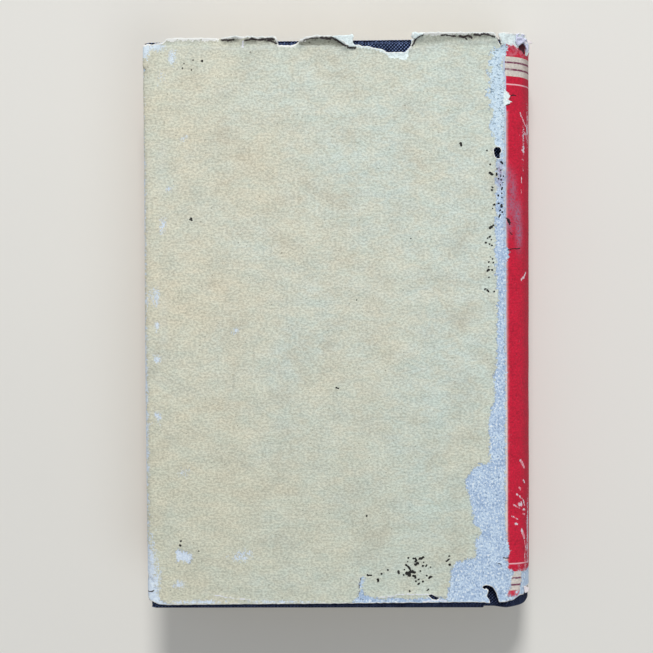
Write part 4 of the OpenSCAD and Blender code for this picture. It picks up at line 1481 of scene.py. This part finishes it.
def cloth_section(sizes):
    """The cloth's outer face: the turn-in, the fore-edge, the board, the joint and half the spine."""
    inner = cloth_low.z - MIDDLE
    outer = cloth_high.z - MIDDLE
    wall = board_high.x + sizes.cloth_thickness / MM
    floor = board_low.z - MIDDLE + sizes.cloth_thickness / MM
    floor_end = FOLD - 4.2
    radius = JACKET_RADIUS - (TOP - cloth_high.z) - 0.1
    spine_start = FOLD - 0.1
    angle = math.acos((spine_start - SPINE_CENTRE) / radius)
    edge = sizes.cloth_edge / MM
    section = Section(
        [(cloth_low.x + sizes.turn_in / MM, inner), (cloth_low.x, inner), (cloth_low.x, outer), (wall, outer),
         (wall, floor), (floor_end, floor), (spine_start, radius * math.sin(angle))],
        [edge, edge, edge, 0.6, 1.6])
    section.add_arc(SPINE_CENTRE, radius, angle, 0, 48)
    return section


def cloth_depths(section, sizes):
    """How the cloth turns round the cover's ends, at points along its section.

    Gives the points' places, the cover's thickness there and its direction, the width of the
    turn-in, and how far the mitred corners cut it short.
    """
    out = np.linspace(section.start, section.end, DEPTH_SAMPLES)
    points = section.point(out)
    x, z = points.T
    inner = cloth_low.z - MIDDLE
    outer = cloth_high.z - MIDDLE
    cloth = sizes.cloth_thickness / MM
    board = cloth_high.z - cloth_low.z
    wall = board_high.x + cloth
    joint = soft_step(x, wall - 1.0, wall + 0.6)
    spine = soft_step(x, FOLD - 2, FOLD + 2)
    deep = board + (2 * cloth - board) * joint + 2 * cloth * spine
    on_turn_in = (z < inner + 0.3) & (x < board_high.x - 2)
    on_fore_edge = (z < outer - 0.02) & (x < cloth_low.x + 2)
    deep = np.where(on_fore_edge | on_turn_in, 0.02, deep)
    # Round the board's end the lines fan out to the cover's inner face, so that none of them cross
    lean = -section.normal(out, 0.05)
    near = np.flatnonzero((x > wall - 1.2) & (x < wall + 0.8))
    share = (out[near] - out[near[0]]) / (out[near[-1]] - out[near[0]])
    across = x[near[0]] + share * (x[near[-1]] - x[near[0]])
    reach = np.stack([across, np.full(len(near), inner)], 1) - points[near]
    deep[near] = np.hypot(reach[:, 0], reach[:, 1])
    lean[near] = reach / deep[near][:, None]
    turned = np.clip(x - cloth_low.x, 0.05, sizes.turn_in / MM)
    turned = turned + (SPINE_TURN_IN - turned) * spine
    mitre = np.where(on_turn_in, x - cloth_low.x, 0)
    return out, deep, lean, turned, np.clip(mitre, 0, None)


def cloth_columns(section):
    """Places along the section, closest together where the cloth turns."""
    places = []
    place = section.start
    while place < section.end:
        places.append(place)
        x = section.point([place])[0][0]
        at_fore_edge = abs(x - cloth_low.x) < 2.2
        at_board_end = board_high.x - 0.8 < x < board_high.x + 1.8
        at_joint_or_spine = board_high.x - 1.2 < x < SPINE
        place += 0.2 if at_fore_edge else 0.16 if at_board_end else 0.55 if at_joint_or_spine else 1.6
    return [*places, section.end]


def cloth_rows():
    """The rows from the inner edge of the turn-in over the cover's edge to the outer face."""
    rows = [("inside", k / TURN_ROWS) for k in range(TURN_ROWS)]
    rows += [("lower", k / ARC_ROWS) for k in range(ARC_ROWS)]
    rows += [("wall", k / WALL_ROWS) for k in range(WALL_ROWS)]
    return rows + [("upper", k / ARC_ROWS) for k in range(ARC_ROWS + 1)]


def turned_place(kind, part, turn, bend, thick):
    """How far in from the cover's edge a row lies, and how deep below the outer face."""
    angle = part * math.pi / 2
    if kind == "inside":
        return turn + (bend - turn) * part, thick
    if kind == "lower":
        return bend * (1 - math.sin(angle)), thick - bend * (1 - math.cos(angle))
    if kind == "wall":
        return 0.0, thick - bend - (thick - 2 * bend) * part
    return bend * (1 - math.cos(angle)), bend * (1 - math.sin(angle))


def round_cloth_corner(x, y, corner):
    """Draws a place in where it lies past a corner at the fore-edge or at the spine."""
    ahead, beside = cloth_low.x + corner - x, abs(y) - (COVER_HALF - corner)
    if ahead > 0 and beside > 0:
        share = max(ahead, beside) / math.hypot(ahead, beside)
        x = cloth_low.x + corner - ahead * share
        y = math.copysign(COVER_HALF - corner + beside * share, y)
    past, beside = x - (SPINE - SPINE_CORNER), abs(y) - (COVER_HALF - SPINE_CORNER)
    if past > 0 and beside > 0:
        share = max(past, beside) / math.hypot(past, beside)
        y = math.copysign(COVER_HALF - SPINE_CORNER + beside * share, y)
    return x, y


def build_case_cloth(name, upper, cover_node, extra_nodes, sizes):
    """The cloth over one cover, its joint and half the spine, turned in on three sides."""
    section = cloth_section(sizes)
    known, deep, lean, turned, mitre = cloth_depths(section, sizes)
    edge, corner = sizes.cloth_edge / MM, sizes.cover_corner / MM
    columns, rows = cloth_columns(section), cloth_rows()
    count = 2 * len(rows) + MIDDLE_ROWS
    bm = bmesh.new()
    bmesh.ops.create_grid(bm, x_segments=len(columns) - 1, y_segments=count - 1, size=0.5)
    outs, alongs, depths, sheet_map = [], [], [], []
    for vert in bm.verts:
        out = columns[round((vert.co.x + 0.5) * (len(columns) - 1))]
        row = round((vert.co.y + 0.5) * (count - 1))
        thick, turn, cut = (float(np.interp(out, known, line)) for line in (deep, turned, mitre))
        end = -1 if row < count / 2 else 1
        step = min(row, count - 1 - row)
        bend = min(edge, thick / 2)
        if step < len(rows):
            inset, depth = turned_place(*rows[step], turn, bend, thick)
            along = end * (COVER_HALF - inset)
        else:
            part = (row - len(rows)) / (MIDDLE_ROWS - 1)
            along, depth = (2 * part - 1) * (COVER_HALF - bend - EDGE_GAP), 0.0
        if cut > 0:
            along = math.copysign(min(abs(along), max(COVER_HALF - cut, 1)), along)
        outs.append(out)
        alongs.append(along)
        depths.append(depth)
        sheet_map.append((out, end * (COVER_HALF + depth) if step < len(rows) else along))
    keep_sheet_map(bm, sheet_map)
    inward = np.stack([np.interp(outs, known, lean[:, k]) for k in (0, 1)], 1)
    moved = section.point(np.array(outs)) + inward * np.array(depths)[:, None]
    side = 1 if upper else -1
    for vert, (x, z), along in zip(bm.verts, moved, alongs):
        x, y = round_cloth_corner(x, along, corner)
        vert.co = (x, y + COVER_Y, MIDDLE + side * z)
    if not upper:
        bmesh.ops.reverse_faces(bm, faces=bm.faces)
    bmesh.ops.remove_doubles(bm, verts=bm.verts, dist=0.004)
    piece = piece_from(bm, name, [bpy.data.materials["woven_cloth"]])
    thicken(piece, sizes.cloth_thickness)
    # No point may reach past the cover's ends
    for vert in piece.data.vertices:
        vert.co.y = min(max(vert.co.y, (COVER_Y - COVER_HALF) * MM), (COVER_Y + COVER_HALF) * MM)
    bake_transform(piece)
    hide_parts(cover_node, *extra_nodes)


class BOOK_OT_case_cloth(bpy.types.Operator):
    """Make the book cloth over both covers, their joints and the spine."""

    bl_idname = "book.case_cloth"
    bl_label = "Book Cloth"

    def execute(self, context):
        sizes, colours = context.scene.book_sizes, context.scene.book_colours
        cloth_finish("woven_cloth", colours)
        build_case_cloth("case_cloth_back", True, "back_cover_cloth", ["spine_cloth"], sizes)
        build_case_cloth("case_cloth_front", False, "front_cover_cloth", [], sizes)
        return {"FINISHED"}


# Pages

PAGE_LAYERS, PAGE_COLUMNS, PAGE_LENGTHS = 62, 44, 56
# The pages start to rise into their shoulders this far before the rounded spine
SHOULDER_RUN = 2.2
# How far the leaves' uneven edges stand back on average
LEAF_UNEVEN = 0.10


def page_grid():
    """A grid of page edges at the tail, drawn out to the head, without faces inside."""
    bm = bmesh.new()
    bmesh.ops.create_grid(bm, x_segments=PAGE_COLUMNS, y_segments=PAGE_LAYERS, size=0.5)
    bmesh.ops.rotate(bm, cent=(0, 0, 0), matrix=Matrix.Rotation(math.pi / 2, 3, "X"), verts=bm.verts)
    bmesh.ops.translate(bm, vec=(0, pages_low.y, 0), verts=bm.verts)
    front = list(bm.faces)
    step = (pages_high.y - pages_low.y) / PAGE_LENGTHS
    for count in range(PAGE_LENGTHS):
        made = bmesh.ops.extrude_face_region(bm, geom=front)["geom"]
        if count:
            bmesh.ops.delete(bm, geom=front, context="FACES")
        front = [item for item in made if isinstance(item, bmesh.types.BMFace)]
        points = [item for item in made if isinstance(item, bmesh.types.BMVert)]
        bmesh.ops.translate(bm, vec=(0, step, 0), verts=points)
    return bm


def build_pages(colours):
    """The block of pages: hollow fore-edge, rounded spine, shoulders, and uneven edges of the leaves."""
    half = leaf_low.z - MIDDLE
    shoulder = pages_high.z - MIDDLE
    radius = in_mm(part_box("mull")[1]).x - SPINE_CENTRE - 0.25
    fore_centre = pages_low.x - math.sqrt(radius**2 - half**2)
    spine_edge = SPINE_CENTRE + math.sqrt(radius**2 - shoulder**2)
    rise_start = spine_edge - SHOULDER_RUN
    bm = page_grid()
    uneven = np.array([[noise.noise((k * 0.37, 3.0 * end, 1.0)) + 0.6 * noise.noise((k * 1.9, 5.0 * end, 2.0))
                        for k in range(PAGE_LAYERS + 1)] for end in range(3)])
    for vert in bm.verts:
        across, level, y = vert.co.x + 0.5, 2 * vert.co.z, vert.co.y
        row = round((level + 1) / 2 * PAGE_LAYERS)
        inner_z, outer_z = level * half, level * shoulder
        fore = fore_centre + math.sqrt(radius**2 - inner_z**2)
        spine = SPINE_CENTRE + math.sqrt(radius**2 - outer_z**2)
        x = fore + (spine - fore) * across
        climb = soft_step(x, min(rise_start, spine - SHOULDER_RUN), spine)
        z = inner_z + (outer_z - inner_z) * climb
        if across < 1e-4:
            x += LEAF_UNEVEN * (1 + uneven[0][row]) + 0.05 * noise.noise((row * 0.9, y * 0.05, 4.0))
        if abs(y - pages_low.y) < 1e-3:
            y += LEAF_UNEVEN + 0.09 * uneven[1][row] + 0.05 * noise.noise((row * 0.9, x * 0.06, 5.0))
        if abs(y - pages_high.y) < 1e-3:
            y -= LEAF_UNEVEN + 0.09 * uneven[2][row] + 0.05 * noise.noise((row * 0.9, x * 0.06, 6.0))
        vert.co = (x, y, MIDDLE + z)
    bmesh.ops.recalc_face_normals(bm, faces=bm.faces)
    piece = piece_from(bm, "pages_block", [leaf_edges("leaf_edges", colours)])
    piece.data.shade_flat()
    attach(piece, "text_block")
    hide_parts("pages")


class BOOK_OT_pages(bpy.types.Operator):
    """Make the block of pages with its layered, slightly uneven edges."""

    bl_idname = "book.pages"
    bl_label = "Pages"

    def execute(self, context):
        build_pages(context.scene.book_colours)
        return {"FINISHED"}


# Endpapers

LEAF_THICKNESS = 0.2
STRIP_THICKNESS = 0.15
# Half the height of the endpapers at the pastedown and where they cross the joint
PASTEDOWN_HALF = 92.0
STRIP_HALF = 91.8
# Where the strip over the joint runs at rest: across, and height off the middle
STRIP_SECTION = [
    (54.55, 11.3), (54.75, 11.75), (54.5, 12.1), (54.0, 11.85), (53.4, 11.5), (52.7, 11.1), (52.1, 10.75),
    (51.5, 10.5),
]


def build_free_leaf(name, upper, node):
    """A free endpaper on the pages: it rises with the shoulder, and its edges are uneven."""
    low, high = (in_mm(c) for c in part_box(node))
    half = leaf_low.z - MIDDLE + LEAF_THICKNESS
    shoulder = leaf_high.z - MIDDLE
    bm = flat_grid((low.x, low.y), (high.x, high.y), (1.6, 3.0))
    refine(bm, lambda m: m[:, 0] > high.x - 5)
    side = 1 if upper else -1
    for vert in bm.verts:
        x, y = vert.co.x, vert.co.y
        climb = float(soft_step(x, high.x - 2.4, high.x - 0.1))
        ripple = 0.03 * noise.noise((x * 0.05, y * 0.05, 7.0))
        edge = min(x - low.x, y - low.y, high.y - y)
        if edge < 0.01:
            pull = 0.12 + 0.12 * noise.noise((x * 0.3, y * 0.3, 8.0))
            if x - low.x < 0.01:
                x += pull
            if y - low.y < 0.01:
                y += pull
            elif high.y - y < 0.01:
                y -= pull
        vert.co = (x, y, MIDDLE + side * (half + ripple + (shoulder - half) * climb))
    if not upper:
        bmesh.ops.reverse_faces(bm, faces=bm.faces)
    piece = piece_from(bm, name, [bpy.data.materials["toned_endpaper"]])
    thicken(piece, LEAF_THICKNESS * MM)
    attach(piece, "text_block")
    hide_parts(node)


def build_pastedown(name, upper, node, body, sizes):
    """A pastedown: it lies on the turned-in cloth and sinks onto the board inside it."""
    fore = in_mm(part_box(node)[0]).x
    face = paste_low.z - MIDDLE
    board_depth = 0.4
    window_low = cloth_low.x + sizes.turn_in / MM
    window_y = COVER_HALF - sizes.turn_in / MM
    end = board_high.x + 3.9
    bm = flat_grid((fore, COVER_Y - PASTEDOWN_HALF), (end, COVER_Y + PASTEDOWN_HALF), (1.8, 1.9))
    side = 1 if upper else -1
    for vert in bm.verts:
        x, y = vert.co.x, vert.co.y
        into = min(x - window_low, window_y - abs(y - COVER_Y))
        sink = float(soft_step(into, -0.6, 1.4)) * board_depth
        ripple = 0.02 * noise.noise((x * 0.08, y * 0.08, 9.0))
        if x - fore < 0.01:
            x += 0.15 + 0.12 * noise.noise((y * 0.2, 0, 10.0))
        vert.co = (x, y, MIDDLE + side * (face + sink + ripple))
    if upper:
        bmesh.ops.reverse_faces(bm, faces=bm.faces)
    piece = piece_from(bm, name, [bpy.data.materials["toned_endpaper"]])
    thicken(piece, LEAF_THICKNESS * MM)
    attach(piece, body)
    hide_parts(node)


def build_inner_joint(name, upper):
    """The strip of endpaper that crosses the joint from the pages to the cover."""
    last = len(STRIP_SECTION) - 1
    bm = bmesh.new()
    bmesh.ops.create_grid(bm, x_segments=last, y_segments=60, size=0.5)
    side = 1 if upper else -1
    for vert in bm.verts:
        x, z = STRIP_SECTION[round((vert.co.x + 0.5) * last)]
        vert.co = (x, COVER_Y + vert.co.y * 2 * STRIP_HALF, MIDDLE + side * z)
    if upper:
        bmesh.ops.reverse_faces(bm, faces=bm.faces)
    piece = piece_from(bm, name, [bpy.data.materials["toned_endpaper"]])
    thicken(piece, STRIP_THICKNESS * MM)
    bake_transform(piece)


class BOOK_OT_endpapers(bpy.types.Operator):
    """Make the free endpapers, the pastedowns and the strips that cross the joints."""

    bl_idname = "book.endpapers"
    bl_label = "Endpapers"

    def execute(self, context):
        sizes, colours = context.scene.book_sizes, context.scene.book_colours
        plain_paper("toned_endpaper", colours.endpaper, srgb(214, 200, 168))
        build_free_leaf("free_leaf_back", True, "back_free_endpaper")
        build_free_leaf("free_leaf_front", False, "front_free_endpaper")
        build_pastedown("pastedown_back", True, "back_pastedown", "back_cover", sizes)
        build_pastedown("pastedown_front", False, "front_pastedown", "front_cover", sizes)
        build_inner_joint("inner_joint_back", True)
        build_inner_joint("inner_joint_front", False)
        return {"FINISHED"}


# Head band and tail band

BAND_RADIUS = 0.88
# The bands' boxes reach this far past the cord's middle line
BAND_HALF = 0.9
BAND_TURNS = 240
WINDING_PITCH = 0.6


def build_end_band(name, node, end):
    """A wound cord round the spine's arc, at the head or at the tail."""
    low, high = (in_mm(c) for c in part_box(node))
    centre_line = high.x - SPINE_CENTRE - BAND_HALF
    y = high.y - BAND_HALF if end > 0 else low.y + BAND_HALF
    reach = math.asin(min(1, (high.z - MIDDLE) / (centre_line + BAND_HALF)))
    bm = bmesh.new()
    ring = bmesh.ops.create_circle(bm, cap_ends=True, radius=BAND_RADIUS, segments=14)["verts"]
    bmesh.ops.translate(bm, vec=(centre_line, 0, 0), verts=ring)
    bmesh.ops.rotate(bm, cent=(0, 0, 0), matrix=Matrix.Rotation(reach, 3, "Y"), verts=ring)
    bmesh.ops.spin(bm, geom=bm.verts[:] + bm.edges[:] + bm.faces[:], cent=(0, 0, 0), axis=(0, 1, 0),
                   angle=-2 * reach, steps=BAND_TURNS, use_duplicate=False)
    for vert in bm.verts:
        angle = math.atan2(vert.co.z, vert.co.x)
        middle = Vector((centre_line * math.cos(angle), 0, centre_line * math.sin(angle)))
        rib = 0.93 + 0.07 * math.cos(angle * centre_line / WINDING_PITCH * math.tau)
        vert.co = middle + (vert.co - middle) * rib
        vert.co += Vector((SPINE_CENTRE, y, MIDDLE))
    bmesh.ops.recalc_face_normals(bm, faces=bm.faces)
    piece = piece_from(bm, name, [bpy.data.materials["wound_thread"]])
    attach(piece, "text_block")
    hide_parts(node)


class BOOK_OT_end_bands(bpy.types.Operator):
    """Make the ribbed head band and tail band."""

    bl_idname = "book.end_bands"
    bl_label = "Head and Tail Bands"

    def execute(self, context):
        thread_finish("wound_thread", context.scene.book_colours)
        build_end_band("head_band_thread", "head_band", 1)
        build_end_band("tail_band_thread", "tail_band", -1)
        return {"FINISHED"}


class BOOK_OT_hidden_layers(bpy.types.Operator):
    """Finish the boards, the card inlay, the gauze and its lining, which keep the frame's shape."""

    bl_idname = "book.hidden_layers"
    bl_label = "Boards and Linings"

    def execute(self, context):
        colours = context.scene.book_colours
        finishes = {
            "back_board": board_finish("strawboard", colours, 1.0),
            "spine_inlay": board_finish("inlay_card", colours, 0.8),
            "mull": gauze_finish("open_gauze"),
            "spine_lining": plain_paper("brown_lining", srgb(172, 142, 98), srgb(146, 116, 76)),
        }
        finishes["front_board"] = finishes["back_board"]
        for name, finish in finishes.items():
            mesh = frame["nodes"][name].data
            mesh.materials.clear()
            mesh.materials.append(finish)
        return {"FINISHED"}


# Stage

# The camera stands over the book, in millimetres, and is turned a little, in degrees
CAMERA_PLACE = (5.47, 16.47, 447.0)
CAMERA_TURN = (-2.354, 1.326, -0.414)
FLOOR_HALF = 2000
FLOOR_DROP = 0.3

# Each lamp's place in metres, its size in metres and its colour
KEY_LAMP = ((0.0, 1.3, 1.2), 0.5, (1.0, 0.985, 0.96))
FILL_LAMP = ((0.5, -0.6, 1.1), 0.9, (0.96, 0.98, 1.0))
SKY_COLOUR = (0.97, 0.985, 1.0, 1)
SEEN_SKY = 0.78


class BOOK_OT_stage(bpy.types.Operator):
    """Lay the pale floor, and set the soft lamps and the camera."""

    bl_idname = "book.stage"
    bl_label = "Stage"

    def execute(self, context):
        settings, colours = context.scene.book_stage, context.scene.book_colours
        bm = bmesh.new()
        bmesh.ops.create_grid(bm, x_segments=8, y_segments=8, size=FLOOR_HALF)
        bmesh.ops.translate(bm, vec=(0, 0, -FLOOR_DROP), verts=bm.verts)
        f = Finish("floor_paint", 0.85, 0.2)
        haze = f.spread(f.noise(f.object_place(), 90.0, 3.0), 0.98, 1.02)
        floor = piece_from(bm, "floor", [f.done(f.scaled(colours.floor, haze))])
        add_area_lamp("key_lamp", *KEY_LAMP, settings.key_power)
        add_area_lamp("fill_lamp", *FILL_LAMP, settings.fill_power)
        world = bpy.data.worlds.new("soft_sky")
        world.use_nodes = True
        light_sky(world.node_tree, settings.world_strength)
        context.scene.world = world
        camera = bpy.data.cameras.new("camera")
        camera.sensor_width = 36
        camera.lens = settings.camera_lens
        camera.clip_start = 0.01
        eye = bpy.data.objects.new("camera", camera)
        eye.location = Vector(CAMERA_PLACE) * MM
        eye.rotation_euler = [math.radians(turn) for turn in CAMERA_TURN]
        context.scene.collection.objects.link(eye)
        context.scene.camera = eye
        context.scene.view_settings.view_transform = "Standard"
        return {"FINISHED"}


def light_sky(tree, strength):
    """An even sky that lights at its own strength and looks pale wherever it is seen."""
    sky = tree.nodes["Background"]
    sky.inputs["Color"].default_value = SKY_COLOUR
    rays = tree.nodes.new("ShaderNodeLightPath")
    seen = tree.nodes.new("ShaderNodeMath")
    seen.operation = "MAXIMUM"
    tree.links.new(rays.outputs["Is Camera Ray"], seen.inputs[0])
    tree.links.new(rays.outputs["Is Glossy Ray"], seen.inputs[1])
    level = tree.nodes.new("ShaderNodeMapRange")
    tree.links.new(seen.outputs[0], level.inputs["Value"])
    level.inputs["To Min"].default_value = strength
    level.inputs["To Max"].default_value = SEEN_SKY
    tree.links.new(level.outputs["Result"], sky.inputs["Strength"])


def add_area_lamp(name, place, size, colour, power):
    """A round lamp that points at the book."""
    lamp = bpy.data.lights.new(name, "AREA")
    lamp.shape = "DISK"
    lamp.size = size
    lamp.energy = power
    lamp.color = colour
    holder = bpy.data.objects.new(name, lamp)
    holder.location = place
    holder.rotation_euler = (-Vector(place)).to_track_quat("-Z", "Y").to_euler()
    bpy.context.scene.collection.objects.link(holder)


class BOOK_PT_panel(bpy.types.Panel):
    """The book's pieces, in the order they are made."""

    bl_idname = "BOOK_PT_panel"
    bl_label = "Worn Hardback Book"
    bl_space_type = "VIEW_3D"
    bl_region_type = "UI"
    bl_category = "Book"

    def draw(self, context):
        for operator in OPERATORS:
            self.layout.operator(operator.bl_idname)
        for group in ("book_sizes", "book_colours", "book_stage"):
            settings = getattr(context.scene, group)
            box = self.layout.box()
            for name in settings.__annotations__:
                box.prop(settings, name)


OPERATORS = (
    BOOK_OT_hidden_layers, BOOK_OT_pages, BOOK_OT_endpapers, BOOK_OT_end_bands, BOOK_OT_case_cloth,
    BOOK_OT_jacket_front, BOOK_OT_jacket_back, BOOK_OT_torn_scraps, BOOK_OT_stage,
)
GROUPS = {"book_sizes": BookSizes, "book_colours": BookColours, "book_stage": StageSettings}


def register():
    """Adds the settings, the operators and the panel."""
    for group in GROUPS.values():
        bpy.utils.register_class(group)
    for name, group in GROUPS.items():
        setattr(bpy.types.Scene, name, bpy.props.PointerProperty(type=group))
    for operator in OPERATORS:
        bpy.utils.register_class(operator)
    bpy.utils.register_class(BOOK_PT_panel)


def unregister():
    """Takes away what register added."""
    bpy.utils.unregister_class(BOOK_PT_panel)
    for operator in reversed(OPERATORS):
        bpy.utils.unregister_class(operator)
    for name in GROUPS:
        delattr(bpy.types.Scene, name)
    for group in reversed(list(GROUPS.values())):
        bpy.utils.unregister_class(group)


def main():
    """Makes the whole book."""
    register()
    bpy.ops.book.hidden_layers()
    bpy.ops.book.pages()
    bpy.ops.book.endpapers()
    bpy.ops.book.end_bands()
    bpy.ops.book.case_cloth()
    bpy.ops.book.jacket_front()
    bpy.ops.book.jacket_back()
    bpy.ops.book.torn_scraps()
    bpy.ops.book.stage()


if __name__ == "__main__":
    main()
